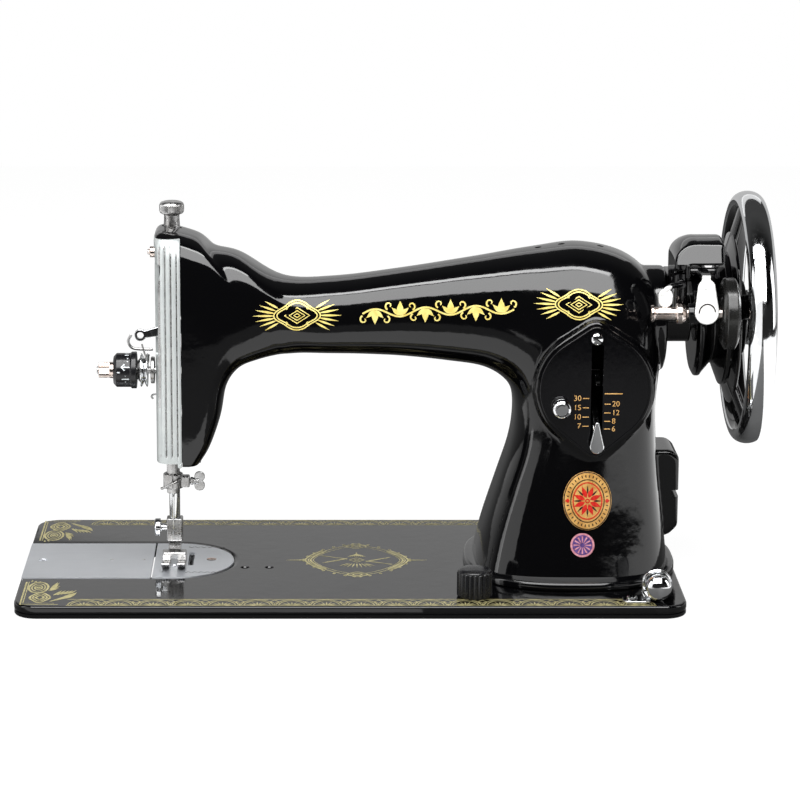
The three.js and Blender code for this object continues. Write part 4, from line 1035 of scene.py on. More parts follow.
def regulator():
    plate = slab("y", regulator_outline(0), (-44.8, -42.6), 0.5, name="regulator_plate_fine")
    cut(plate,
        slab("y", regulator_outline(-1.5), (-46, -44.25)),
        slab("y", rectangle((133.4, 140), (89.6, 144.2), 0.8, 4), (-50, -40)),
        rod("y", (-50, -40), 1.8, (136, 0, 148), sides=32),
        rod("y", (-50, -40), 2.3, (117, 0, 109), sides=32))
    cut(plate, ring("y", (-50, -43.9), 5.6, 4.2, (136, 0, 148)))
    done(plate, [SATIN_BLACK])
    face = -44.3
    level = (face - 0.02, face + 0.02)
    labels = []
    for align, edge, tick, scale in (
            ("RIGHT", 128.2, 129.0, (("30", 114), ("15", 108.7), ("10", 103.4), ("7", 98.2))),
            ("LEFT", 145.2, 141.0, (("20", 110.8), ("12", 105.8), ("8", 101), ("6", 96.6)))):
        for words, z in scale:
            labels += [figure(words, edge, z, face, align),
                block((tick, tick + 3.4), level, (z - 0.25, z + 0.25))]
    labels.append(block((141.0, 151), level, (116.4, 117)))
    done(merged("regulator_scale", *labels), SCALE_GILT)

    screw = turned("y", [
        (0, -2.6), (2.2, -2.5), (3.1, -1.9), (3.5, -1.0), (3.5, 0), (1.5, 0), (1.5, 7), (0, 7)], sides=48,
        name="regulator_screw_fine")
    cut(screw, block((-4, 4), (-3.4, -1.7), (-0.4, 0.4)))
    moved(screw, turn=("y", 35))
    moved(screw, (136, -45, 148))
    done(screw, CHROME)

    knob = turned("y", [
        (0, -7), (3.7, -7), (5.0, -6.2), (5.2, -3.2), (4.7, -2.6), (4.7, -2.1), (5.2, -1.5), (5.2, 0),
        (2, 0), (2, 6), (0, 6)], soft=0.4, name="stitch_stop_knob_fine")
    cut(knob, ring("y", (-8, -5.9), 3.7, 2.6))
    moved(knob, (117, -45, 109))
    done(knob, CHROME, "stitch_stop_knob")

    arm = slab("x", link((0, 0, 5), (-40.5, -24.3, 2.2)), (-2, 2), 0.6, name="stitch_lever_fine")
    tip = slab("y", link((0, -29.8, 4), (0, -17, 1.2), 28), (-44.6, -42), 0.7)
    join(arm, rod("x", (-5, 5), 5.4, soft=0.5), tip)
    cut(arm, rod("x", (-8, 8), 2.6))
    moved(arm, (136.6, -8, 118))
    done(arm, CHROME, "stitch_lever")


def badge(surface):
    """A domed oval plate with a rosette, lying on the pillar."""
    def skin(u, v, lift):
        hit, normal, _, _ = surface.ray_cast(Vector((132.6 + u, -150, 55.4 + v)), Vector((0, 1, 0)))
        return hit + Vector((0, -1, 0.12)).normalized() * lift

    def dome(u, v):
        return 0.25 + 1.1 * max(0.0, 1 - (u / 13.6) ** 2 - (v / 16.6) ** 2) ** 0.5

    def raised(u, v):
        return skin(u, v, dome(u, v) + 0.07)

    points, sides, rings = [], 72, 14
    for i in range(rings + 1):
        for k in range(sides):
            angle = 2 * math.pi * k / sides
            u, v = 13.5 * i / rings * math.cos(angle), 16.5 * i / rings * math.sin(angle)
            points.append(skin(u, v, dome(u, v)))
    for k in range(sides):
        angle = 2 * math.pi * k / sides
        points.append(skin(13.5 * math.cos(angle), 16.5 * math.sin(angle), -0.4))
    oval = mesh(points, quads(rings + 2, sides), "badge_plate")
    done(oval, BADGE_GOLD, stands_for="badge")

    def ellipse(a, b):
        return [(a * math.cos(t), b * math.sin(t)) for t in np.linspace(0, 2 * math.pi, 73)]

    dark = [ellipse(13.0, 16.0), ellipse(9.3, 11.9)]
    for k in range(34):
        angle = 2 * math.pi * k / 34
        u, v = math.cos(angle), math.sin(angle)
        dark.append([(10.5 * u, 13.2 * v), (11.8 * u, 14.6 * v)])
    ribbons("badge_ring", dark, 0.55, raised, DARK_INK)
    red = []
    for k in range(8):
        angle = math.pi * k / 4 + math.pi / 8
        red.append(leaf(1.6 * math.cos(angle), 2.0 * math.sin(angle), angle, 6.6, 2.6))
    red += [ellipse(8.0, 10.2), ellipse(1.0, 1.0)]
    for side in (-1, 1):
        red.append(leaf(side * 9.9, 0, 0 if side > 0 else math.pi, 2.6, 2.2))
    ribbons("badge_rosette", red, 0.7, raised, RED)
    green = []
    for k in range(8):
        angle = math.pi * k / 4
        green.append(leaf(3.4 * math.cos(angle), 4.2 * math.sin(angle), angle, 4.4, 0.9))
    ribbons("badge_leaves", green, 0.5, raised, DARK_INK)

    def disc(name, radius, lift, finish):
        def place(u, v):
            hit, normal, _, _ = surface.ray_cast(Vector((130.1 + u, -150, 30.5 + v)), Vector((0, 1, 0)))
            return hit + normal * lift

        points = [place(r * math.cos(t), r * math.sin(t)) for r in np.linspace(0, radius, 6)
                  for t in np.linspace(0, 2 * math.pi, 49)[:-1]]
        done(mesh(points, quads(6, 48), name), finish)
        return place

    disc("round_label_rim", 6.7, 0.10, PINK)
    place = disc("round_label_field", 5.6, 0.13, VIOLET)
    rays = [[(1.3 * math.cos(a), 1.3 * math.sin(a), 0.3), (4.9 * math.cos(a), 4.9 * math.sin(a), 0.9)]
            for a in np.linspace(0, 2 * math.pi, 13)[:-1]]
    ribbons("round_label_rays", rays, 0.5, lambda u, v: place(u, v) + Vector((0, -0.05, 0)), PINK)


# ------------------------------------------------------------------ hand wheel and arm shaft


def hand_wheel():
    hub = turned("x", [
        (7.2, 193), (30, 193), (33, 194.6), (33, 197), (25.5, 203), (26, 204.4), (38, 209), (38, 213),
        (35, 214.6), (21, 215.4), (21, 222), (7.2, 222), (7.2, 193)], sides=128, soft=0.7,
        name="hand_wheel_fine")
    middle, half = 224.25, 7.75
    oval = []
    for k in range(41):
        angle = 2 * math.pi * (k % 40) / 40
        oval.append((65.9 + 5.4 * math.sin(angle), middle + half * math.cos(angle)))
    rim = turned("x", oval, sides=160)
    web = turned("x", [
        (33, 210.4), (40, 211.6), (47, 213.6), (48.4, 214.4), (47.6, 215.6), (40, 214), (33, 214.2),
        (33, 210.4)], sides=128, soft=0.6)
    spokes = []
    for k in range(5):
        spoke = tube([(210.5, 0, 26), (213.5, 0, 38), (217, 0, 50), (220.5, 0, 63)], (5.2, 4.2), 6, 24,
            (1.5, 0.55), up=(1, 0, 0))
        join(spoke,
             tube([(209.8, 0, 30), (213.0, 0, 42), (216.2, 0, 52), (219.4, 0, 62.4)], (1.3, 1.2), 6, 12))
        for side in (-1, 1):
            join(spoke, tube([(210.8, side * 6.2, 30), (213.4, side * 6, 40),
                                      (216.4, side * 5.6, 51), (219.6, side * 5.4, 62)], (1.2, 1.1), 6, 12))
        moved(spoke, turn=("x", 360 / 5 * k))
        spokes.append(spoke)
    join(hub, web, rim, *spokes)

    def plated(centre, normal):
        radius = math.hypot(centre.y, centre.z)
        outward = (centre.y * normal.y + centre.z * normal.z) / max(radius, 1)
        return radius > 62.5 and (outward > -0.55 or centre.x > middle + 3)

    paint(hub, plated)
    moved(hub, (0, 0, SHAFT_Z))
    done(hub, [ENAMEL, CHROME], "arm_shaft", angle=40)

    washer = ring("x", (222.3, 223.8), 12.5, 6.6, AXLE, soft=0.3, name="clutch_washer_fine")
    done(washer, STEEL, "arm_shaft")
    knob = slab("x", fluted(18.5, 17.8, 44, 6), (226.6, 234), 0.8, name="stop_motion_screw_fine")
    join(knob,
         turned("x", [(0, 233), (16.5, 233), (16, 236), (12, 237.6), (0, 238)], sides=96, soft=0.8),
         rod("x", (224.1, 227), 15.5, sides=64, soft=0.4))
    cut(knob, rod("x", (220, 226), 6.8), rod("x", (220, 231.6), 4.4),
        ring("x", (237.2, 239), 9.4, 8.8), rod("x", (236.6, 239), 2.2, (0, 10.6, 0)))
    moved(knob, (0, 0, SHAFT_Z))
    done(knob, CHROME, "stop_motion_screw")
    pin = turned("x", [(0, 236.2), (1.9, 236.2), (1.9, 237.8), (1.5, 238.0), (0, 238)], (0, 10.6, SHAFT_Z),
        sides=32, name="clamp_stop_screw")
    cut(pin, block((237.2, 239), (8, 13), (SHAFT_Z - 0.3, SHAFT_Z + 0.3)))
    done(pin, STEEL, "stop_motion_screw")


def arm_shaft():
    shaft = rod("x", (-78, 225.6), 6.2, sides=64, soft=0.4, name="arm_shaft_fine")
    join(shaft, rod("x", (225, 231), 4, soft=0.4),
         turned("x", [
             (0, -73.4), (16, -73.4), (16, -69.4), (13.5, -69.4), (13.5, -66.4), (16, -66.4), (16, -63),
             (0, -63)], sides=96, soft=0.3),
         rod("x", (119, 131), 10, (0, 3, 0), sides=96, soft=0.5))
    moved(shaft, (0, 0, SHAFT_Z))
    done(shaft, STEEL, "arm_shaft")
    crank = rod("x", (-84, -78.3), 12, sides=64, soft=0.6, name="counterweight_crank_fine")
    weight = common(rod("x", (-84, -74), 19, sides=64, soft=0.8),
                    block((-90, -70), (-20, 20), (-20, -7)))
    join(crank, slab("x", link((0, 0, 9), (0, 16, 3.4)), (-84, -78.3), 0.6), weight,
         rod("x", (-91.4, -83), 3.5, (0, 0, 16), soft=0.4))
    moved(crank, (0, 0, SHAFT_Z))
    done(crank, IRON, "arm_shaft")
    done(ring("x", (-61.6, -44), 9.5, 6.5, AXLE, soft=0.3, name="shaft_bushing_left_fine"), BRASS)
    done(ring("x", (156, 191.6), 13.6, 6.5, AXLE, soft=0.6, name="shaft_bushing_right_fine"), ENAMEL)


# ------------------------------------------------------------------ bobbin winder


def winder():
    outline = [(177.4, 158), (184.6, 158), (184.6, 189.6), (205, 189.6), (205, 203), (189.4, 203)]
    outline += arc(189.4, 191, 12, math.pi / 2, math.pi, 14)[1:]
    hood = slab("y", rounded(outline, 2.8, 6), (-50, -14), 2.2, 5, name="winder_hood")
    split = bmesh.new()
    split.from_mesh(hood.data)
    for place, way in [((0, y, 0), (0, 1, 0)) for y in range(-47, -15, 4)] + [((0, 0, 190.4), (0, 0, 1))]:
        bmesh.ops.bisect_plane(split, geom=split.verts[:] + split.edges[:] + split.faces[:],
                               plane_co=place, plane_no=way)
    bmesh.ops.triangulate(split, faces=split.faces[:])
    for vertex in split.verts:
        rise = max(0.0, vertex.co.z - 190.4)
        vertex.co.y += rise * 0.42 * max(0.0, (-34 - vertex.co.y) / 16)
        vertex.co.z -= rise / 12.6 * 3.2 * ((vertex.co.y + 30) / 18) ** 2
    split.to_mesh(hood.data)
    split.free()
    join(hood, block((177.4, 184.6), (-16, 12), (166, 178), 1.2))
    for x in (183.4, 199):
        join(hood, block((x, x + 2.4), (-52, -44), (182.8, 190.5), 0.6))
    cut(hood, rod("x", (170, 200), 3.3, (0, -34, 181)), rod("x", (170, 200), 17, AXLE, sides=96),
        rod("x", (170, 210), 2.4, (0, -48, 186.4)))
    done(hood, ENAMEL, stands_for="winder_frame")

    dy, dz = 26, 15.7
    arm = slab("x", link((0, 0, 5.4), (dy, dz, 5.6)), (187, 193), 1.0, name="winder_arm_fine")
    join(arm, rod("x", (183.5, 199.5), 5.4, sides=64, soft=0.8),
         rod("x", (178, 192), 3, (0, dy, dz), soft=0.4))
    cut(arm, rod("x", (180, 202), 3.4))
    moved(arm, (0, -60, 165.3))
    done(arm, ENAMEL, "winder_arm")

    spindle = turned("x", [
        (0, 163.6), (4.6, 163.6), (4.6, 165.2), (3.6, 165.6), (3.6, 177), (5.2, 177.2), (5.6, 178),
        (5.6, 180.4),
        (4.4, 182.6), (3, 182.8), (3, 211.6), (0, 211.6)], soft=0.35, name="winder_spindle_fine")
    for k in range(5):
        spindle = cut(spindle, ring("x", (167 + 1.9 * k, 167.5 + 1.9 * k), 4, 3.35))
    moved(spindle, (0, -60, 165.3))
    done(spindle, COPPER, "winder_spindle")
    tyre = turned("x", [
        (3.3, 201.6), (8, 201.6), (9, 202.6), (14, 202.6), (15.4, 201.6), (16.6, 201.8), (19.5, 203.4),
        (19.5, 209),
        (16.6, 210.6), (15.4, 210.8), (14, 209.8), (9, 209.8), (8, 210.8), (3.3, 210.8), (3.3, 201.6)],
        (0, -60, 165.3), sides=96, soft=0.6, name="winder_tyre_fine")
    done(tyre, RUBBER, "winder_spindle")

    leaf_plate = slab("y", link((171.4, 9.8, 3.9), (171.4, 7.2, 3.7)), (-0.8, 0.8), 0.35,
        name="winder_tongue_fine")
    join(leaf_plate,
         tube([(171.4, 0, 13), (175, 3, 14.6), (180.6, 7.6, 14.6)], 1.5, 8, 16),
         rod("y", (6.6, 9.7), 2.6, (180.6, 0, 14.6), sides=32, soft=0.3))
    paint(leaf_plate, lambda centre, normal: centre.x > 175.4 or centre.y > 1)
    moved(leaf_plate, (0, -60, 165.3))
    done(leaf_plate, [NICKEL, ENAMEL], "winder_tongue")

    drop = slab("y", link((193.2, -19, 6.6), (192.6, -5.4, 4.7), 28), (-21, -18.4), 0.9, 4,
        name="winder_latch_fine")
    join(drop, block((189.6, 195.2), (-19, 1), (-1.8, 1.8), 0.5),
         rod("x", (184, 200.8), 2.1, sides=32, soft=0.3))
    cut(drop, rod("y", (-22, -20.2), 1.0, (192.6, 0, -6.2), sides=24))
    arcs = [(193.2 + 4.4 * math.cos(a), -19 + 4.8 * math.sin(a)) for a in np.linspace(0.1, 3.2, 18)]
    paint(drop, lambda centre, normal: centre.z > -0.6 or centre.y > -18)
    moved(drop, (0, -48, 186.4))
    done(drop, [NICKEL, ENAMEL], "winder_latch")
    ribbons("winder_latch_line", [arcs], 0.75, lambda u, v: (u, -69.03, 186.4 + v), DARK_INK,
        body="winder_latch")


# ------------------------------------------------------------------ head: needle bar and presser bar


def needle_group():
    x, y = -100, -10
    bar = rod("z", (51, 192), 3.6, soft=0.5, name="needle_bar_fine")
    cut(bar, rod("z", (40, 63.5), 1.3, sides=24))
    done(moved(bar, (x, y, 0)), STEEL, "needle_bar")
    collar = rod("z", (112, 120), 5.6, soft=0.4, name="needle_bar_collar_fine")
    join(collar, rod("x", (3, 5.2), 4, (0, 0, 116), sides=32), rod("x", (3, 8), 2.1, (0, 0, 116), sides=32))
    cut(collar, rod("z", (100, 130), 3.9))
    done(moved(collar, (x, y, 0)), STEEL, "needle_bar")
    strap = slab("x", link((0, 116, 5), (10, 166.8, 6.4)), (5.5, 8), 0.4, name="needle_bar_link_fine")
    cut(strap, rod("x", (4, 9), 3.8, (0, 10, 166.8)), rod("x", (4, 9), 2.4, (0, 0, 116)))
    done(moved(strap, (x, y, 0)), STEEL, "needle_bar")

    clamp = rod("z", (54, 62.4), 5.6, sides=64, soft=0.6, name="needle_clamp_fine")
    join(clamp, block((3, 9.4), (-3, 3), (54.6, 61), 0.7))
    cut(clamp, rod("z", (50, 70), 3.9), rod("x", (2, 12), 1.7, (0, 0, 57.8)),
        block((-0.4, 0.4), (-8, -2), (50, 66)))
    done(moved(clamp, (x, y, 0)), STEEL, "needle_bar")
    guide = tube([
        (-6.6, -5.2, 54.6), (-4.6, -6.4, 55.6), (-1.6, -6.9, 57.2), (1.8, -6.6, 58.8), (4.6, -4.4, 60.2)],
        0.75, 8, 14, name="needle_thread_guide")
    done(moved(guide, (x, y, 0)), STEEL, "needle_bar")
    point = turned("z", [
        (0, 24.6), (0.18, 25.6), (0.42, 28.4), (0.42, 48), (0.6, 49.4), (1, 50.5), (1, 63), (0, 63)],
        sides=24, name="needle_fine")
    cut(point, block((-2, 2), (-0.12, 0.12), (28.6, 30)), block((-2, -0.3), (-0.08, 0.08), (30, 48)))
    done(moved(point, (x, y, 0)), CHROME, "needle_bar")

    screw = rod("x", (4.6, 13.4), 1.4, sides=32, soft=0.2, name="needle_clamp_screw_fine")
    join(screw, rod("x", (9.8, 11.4), 2.2, sides=32, soft=0.3),
         slab("y", circle(3, 15, 2.6, 40), (-0.9, 0.9), 0.4),
         slab("y", circle(3, 15, -2.6, 40), (-0.9, 0.9), 0.4),
         rod("x", (11, 14.6), 1.9, sides=32, soft=0.3))
    done(moved(screw, (x, y, 57.8)), STEEL, "needle_clamp_screw")


def coil(radius, wire, low, high, turns, name):
    line = []
    for k in range(turns * 20 + 1):
        angle = 2 * math.pi * k / 20
        line.append((radius * math.cos(angle), radius * math.sin(angle),
            low + (high - low) * k / (turns * 20)))
    return tube(line, wire, 1, 10, up=(0, 0, 1), name=name)


def presser_group():
    x, y = -100, 6
    done(moved(rod("z", (19, 178), 3.1, soft=0.4, name="presser_bar_fine"), (x, y, 0)), CHROME, "presser_bar")
    bracket = rod("z", (121, 130), 5.6, soft=0.5, name="presser_bar_bracket_fine")
    join(bracket, block((-4, 4), (3, 12), (124, 130), 0.7))
    cut(bracket, rod("z", (110, 140), 3.4))
    done(moved(bracket, (x, y, 0)), STEEL, "presser_bar")
    done(moved(coil(4.25, 0.7, 161.4, 187.2, 9, name="presser_spring_coil"), (x, y, 0)), STEEL,
        stands_for="presser_spring")

    screw = turned("z", [
        (0, 190.4), (5.2, 190.4), (5.2, 197), (4.4, 205), (4.3, 208.6), (5.4, 209.1), (6.5, 209.6),
        (7, 210.8),
        (7, 214.2), (6.2, 215.6), (4.4, 216.2), (0, 216.4)], sides=96, soft=0.5, name="pressure_screw_fine")
    cut(screw, rod("z", (180, 200), 3.6))
    for k in range(4):
        cut(screw, ring("z", (197.4 + 1.7 * k, 198.0 + 1.7 * k), 6, 4.75 - 0.14 * k))
    for vertex in screw.data.vertices:
        radius = math.hypot(vertex.co.x, vertex.co.y)
        if radius > 6.7 and 210.2 < vertex.co.z < 215:
            angle = math.atan2(vertex.co.y, vertex.co.x)
            shrink = 1 - 0.03 * (0.5 + 0.5 * math.cos(angle * 48))
            vertex.co.x *= shrink
            vertex.co.y *= shrink
    done(moved(screw, (x, y, 0)), STEEL, "pressure_screw")

    foot = block((-4.7, 4.6), (-4.2, 4.6), (18.6, 32), 0.8, name="presser_foot_fine")
    shank = slab("x", rounded([
        (3.8, 21), (3.8, 30), (4.5, 31), (4.6, 20), (-6, 12.5), (-8.4, 12.5), (-8.4, 13.6), (-5, 14.4)],
        0.5), (-3.6, 3.6), 0.3)
    join(foot, shank, block((-6.8, 6.8), (-11, -4.6), (10, 13.9), 0.8))
    for span in ((-6.8, -2.1), (2.1, 6.8)):
        sole = slab("x", rounded([
            (-4, 7.8), (-22, 7.8), (-31, 12.4), (-30.4, 13.3), (-21.6, 9.4), (-14, 9.4), (-9, 14), (-4, 14)],
            1.2, 5), span, 0.35)
        join(foot, sole)
    cut(foot, rod("z", (18.7, 40), 3.4), block((-9, -2.6), (-1.2, 1.2), (18.7, 40)),
        rod("x", (-9, -3), 2.1, (0, 0, 26)))
    done(moved(foot, (x, y, 0)), STEEL, "presser_bar")
    screw = turned("x", [
        (0, -11.6), (4.6, -11.6), (5.2, -10.8), (5.2, -8.4), (2.6, -8.1), (2.6, -7.4), (1.8, -7.4),
        (1.8, -3.6),
        (0, -3.6)], (0, 0, 26), soft=0.3, name="presser_foot_screw_fine")
    cut(screw, block((-13, -10.8), (-0.5, 0.5), (20, 32)))
    done(moved(screw, (x, y, 0)), CHROME, "presser_foot_screw")

    lifter = slab("x", link((0, 0, 5), (8.7, 1.5, 3.3)), (-3, 3), 0.6, name="presser_lifter_fine")
    join(lifter, tube([(0, 2, -1), (0, 14, -4), (0, 23, -9), (0, 28.5, -20), (0, 29.5, -30)], (3, 2.8), 8,
        24),
         tube([(0, 29.5, -27), (0, 30, -32), (0, 30, -36)], (3.2, 4.0), 6, 24))
    cut(lifter, rod("x", (-5, 5), 2.3))
    done(moved(lifter, (-100, 16.6, 116.4)), CHROME, "presser_lifter")


def take_up():
    lever = slab("y", link((0, 0, 4.6), (-30, -6.4, 2.1)), (-1.2, 1.2), 0.4, name="take_up_lever_fine")
    join(lever, slab("y", circle(3.4, -33, -7), (-1.2, 1.2), 0.4),
         slab("y", link((0, 0, 4.6), (7, -11, 2.8)), (-1.2, 1.2), 0.4))
    cut(lever, rod("y", (-3, 3), 1.9, (-33, 0, -7)), rod("y", (-3, 3), 2.5))
    done(moved(lever, (-84, -21.2, 152)), CHROME, "take_up_lever")


def tension():
    at = (0, -15, 123.6)
    stud = rod("x", (-142, -106), 2, sides=32, soft=0.3, name="tension_stud_fine")
    join(stud, rod("x", (-111.6, -109.5), 7.6, sides=64, soft=0.5))
    cut(stud, block((-143, -130), (-3, 3), (-0.35, 0.35)))
    done(moved(stud, at), STEEL)
    for name, face, lean in (("inner", -115.2, -1.2), ("outer", -115.5, 1.2)):
        way = math.copysign(1, lean)
        disc = turned("x", [
            (2.4, face), (7, face), (9.4, face - lean), (9.4, face - lean - 0.7 * way), (7, face - 0.9 * way),
            (2.4, face - 0.9 * way), (2.4, face)], sides=96, soft=0.3, name="tension_disc_" + name + "_fine")
        done(moved(disc, at), CHROME)
    dial = turned("x", [
        (0, -132.6), (7.6, -132.6), (9.6, -130.8), (9.6, -122.9), (10.4, -122.4), (10.4, -119.6),
        (0, -119.6)], sides=96, soft=0.4, name="tension_dial_fine")
    cut(dial, rod("x", (-140, -129), 5), rod("x", (-130, -110), 2.4, sides=32))
    done(moved(dial, at), PLASTIC, "tension_dial")

    def on_dial(u, v):
        angle = v / 9.64
        return (u, at[1] - 9.64 * math.cos(angle), at[2] + 9.64 * math.sin(angle))

    marks = [[(-127.6, -3.4), (-123.4, -3.4)], [(-125.5, -1.3), (-125.5, -5.5)],
             [(-127.8, 3.6), (-123.2, 3.6)], [(-126.0, 5.4), (-127.8, 3.6), (-126.0, 1.8)],
             [(-124.4, 9.4), (-124.4, 6.8)], [(-130.2, 0.6), (-128.6, 0.6)]]
    for k in range(6):
        marks.append([(-123.9, 12 + 3.4 * k), (-126.0, 12 + 3.4 * k)])
    ribbons("tension_dial_marks", marks, 0.7, on_dial, WHITE, body="tension_dial")
    nut = slab("x", fluted(4.4, 4.0, 22, 6), (-141, -134.6), 0.5, name="tension_nut_fine")
    join(nut, rod("x", (-135, -129.3), 4.6, sides=64, soft=0.4))
    cut(nut, rod("x", (-145, -120), 2.4))
    done(moved(nut, at), COPPER, "tension_dial")
    line = []
    for k in range(49):
        angle = 2 * math.pi * k / 16
        size = 7.2 - 0.05 * k
        line.append((-117.0 - 2.1 * k / 48, size * math.cos(angle), size * math.sin(angle)))
    done(moved(tube(line, 0.42, 1, 10, name="tension_spring_coil"), at), STEEL)
    spring = tube([
        (-112.8, 4, 7.6), (-112.8, 0, 8.4), (-112.8, -6.6, 6), (-114, -10.4, 10), (-116, -10, 17)], 0.5, 10,
        12, name="check_spring_fine")
    done(moved(spring, at), STEEL, "check_spring")
    guard = tube([
        (-111, 6.5, 10.4), (-118, 7, 10.4), (-122.7, 7, 11.4), (-124.6, 7, 15), (-123, 7, 18.6)], 0.8, 10,
        14, name="thread_guard_fine")
    done(moved(guard, at), STEEL)
    hook = tube([(-108, -6, 107.6), (-110.8, -6, 107.3), (-112.0, -6, 106.2), (-111.2, -6, 104.9)], 0.55, 8,
        12, name="face_thread_hook")
    done(hook, STEEL)
    guide = turned("x", [
        (0, -113.8), (1.4, -113.8), (1.6, -112.5), (3.1, -112.4), (3.1, -109.4), (1.4, -109.3), (1.4, -105),
        (0, -105)], (0, 4, 187.6), sides=48, soft=0.35, name="face_thread_guide_fine")
    done(guide, COPPER)


# ------------------------------------------------------------------ small pieces on the bed


def bed_fittings():
    knob = slab("z", fluted(9.9, 9.0, 20, 8), (BED_TOP + GAP, 21.8), 0.7, name="feed_drop_knob_fine")
    join(knob, turned("z", [
        (0, 20.8), (9.2, 20.8), (9.2, 22.3), (7.6, 23.4), (5.0, 23.9), (0, 24.2)], sides=96, soft=0.6),
        rod("z", (-9, 9), 3, sides=32), block((-3, 9), (-3, 3), (-10, -6), 0.5))
    done(moved(knob, (69, -69, 0)), PLASTIC, "feed_drop_knob")

    x, z = 169, 16.8
    foot = slab("z", rectangle((150, 165), (-85, -74), 3, 8), (7.8, 9.2), 0.3,
        name="bobbin_tension_bracket_fine")
    join(foot, slab("y", rectangle((161, 174), (7.8, 23), 4.6, 10), (-75.6, -74), 0.3),
         rod("y", (-86, -74), 1.8, (x, 0, z), sides=32, soft=0.2))
    cut(foot, rod("z", (6, 12), 1.7, (155, -79.5, 0), sides=32))
    done(foot, CHROME)
    screw = turned("z", [(0, 7.6), (1.5, 7.6), (1.5, 9.3), (2.9, 9.4), (2.8, 10.4), (2.2, 10.9), (0, 11)],
        (155, -79.5, 0), sides=40, name="bracket_screw")
    cut(screw, block((151, 159), (-79.9, -79.1), (10.2, 12)))
    done(screw, CHROME)
    discs = turned("y", [
        (2.1, -79), (5, -79), (8.2, -80), (8.2, -79.2), (5.6, -78), (8.2, -76.6), (8.2, -75.9), (5, -76.4),
        (2.1, -76.4), (2.1, -79)], (x, 0, z), sides=96, soft=0.2, name="bobbin_tension_discs_fine")
    done(discs, CHROME)
    ball = [(0, -89.4)]
    for k in range(1, 25):
        angle = math.pi / 2 * k / 24
        ball.append((7.3 * math.sin(angle), -84.2 - 5.2 * math.cos(angle)))
    for k in range(1, 13):
        angle = k / 12 * math.asin(4.9 / 7.3)
        ball.append((7.3 * math.cos(angle), -84.2 + 7.3 * math.sin(angle)))
    nut = turned("y", ball + [(0, -79.3)], sides=96, name="bobbin_tension_nut_fine")
    cut(nut, rod("y", (-86.3, -70), 2.1, sides=32))
    done(moved(nut, (x, 0, z)), CHROME, "bobbin_tension_nut")

    cover = turned("y", [
        (0, 43.8), (27.5, 43.8), (27.5, 45.0), (26.6, 45.6), (22, 45.6), (21.4, 45.2), (0, 45.2)],
        (136, 0, 104), sides=128, soft=0.4, name="rear_cover_fine")
    cut(cover, rod("y", (40, 50), 2, (136, 0, 104), sides=32))
    done(cover, ENAMEL)
    screw = turned("y", [(0, 41), (1.7, 41), (1.7, 45.0), (3.6, 45.1), (3.4, 45.4), (0, 45.6)],
        (136, 0, 104), sides=48, name="rear_cover_screw")
    done(screw, CHROME)


# ------------------------------------------------------------------ the build

smooth_skin = loft(arm_sections())
probe = BVHTree.FromObject(smooth_skin, bpy.context.evaluated_depsgraph_get())
face_plate(probe)
face_plate_foot()
bpy.data.objects.remove(smooth_skin)
casting = arm_casting()
bed()
needle_plate()
slide_plate()
surface = BVHTree.FromPolygons([tuple(v.co / MM) for v in casting.data.vertices],
                               [tuple(p.vertices) for p in casting.data.polygons])
gild(surface)
regulator()
badge(surface)
hand_wheel()
arm_shaft()
winder()
needle_group()
presser_group()
take_up()
tension()
bed_fittings()

for node, body, finish in (
        ("shuttle_race", "machine", STEEL), ("shuttle_hook", "shuttle_hook", CHROME),
        ("bobbin_case", "machine", CHROME), ("bobbin", "bobbin", SATIN),
        ("rock_shaft", "rock_shaft", STEEL), ("connecting_rod", "connecting_rod", IRON),
        ("feed_rock_shaft", "feed_rock_shaft", STEEL), ("feed_bar", "feed_bar", STEEL),
        ("feed_dog", "feed_bar", CHROME), ("feed_lift_shaft", "feed_lift_shaft", STEEL)):
    refined(node, body, finish)

# ------------------------------------------------------------------ floor, light and camera


# How bright the table is to the eye and in reflections, and how bright the room behind is.
FLOOR_SEEN = 0.95
FLOOR_IN_REFLECTION = 0.02
SKY_BEHIND = 0.55


def node(tree, kind, **values):
    """A new node whose sockets are set to values or linked to other nodes' sockets."""
    made = tree.nodes.new("ShaderNode" + kind)
    for socket, value in values.items():
        into = made.inputs[socket.replace("_", " ")]
        if isinstance(value, bpy.types.NodeSocket):
            tree.links.new(value, into)
        else:
            into.default_value = value
    return made


def floor():
    """A pale table top round the bed, open under it for the mechanism."""
    x0, x1, y0, y1 = -1400, 1600, -640, 1500
    hx, hy = 178, 82
    points = [(x0, y0), (x1, y0), (x1, y1), (x0, y1), (-hx, -hy), (hx, -hy), (hx, hy), (-hx, hy)]
    faces = [[0, 1, 5, 4], [1, 2, 6, 5], [2, 3, 7, 6], [3, 0, 4, 7]]
    piece = mesh([(x, y, -0.05) for x, y in points], faces, "table")
    for vertex in piece.data.vertices:
        vertex.co *= MM
    material = bpy.data.materials.new("table_white")
    material.use_nodes = True
    tree = material.node_tree
    shader = tree.nodes["Principled BSDF"]
    shader.inputs["Base Color"].default_value = (0.06, 0.06, 0.06, 1)
    shader.inputs["Roughness"].default_value = 0.9
    level = node(tree, "MapRange", Value=node(tree, "LightPath").outputs["Is Camera Ray"],
                 To_Min=FLOOR_IN_REFLECTION, To_Max=FLOOR_SEEN).outputs["Result"]
    glow = node(tree, "Emission", Strength=level)
    total = node(tree, "AddShader")
    tree.links.new(shader.outputs["BSDF"], total.inputs[0])
    tree.links.new(glow.outputs["Emission"], total.inputs[1])
    tree.links.new(total.outputs["Shader"], tree.nodes["Material Output"].inputs["Surface"])
    piece.data.materials.append(material)


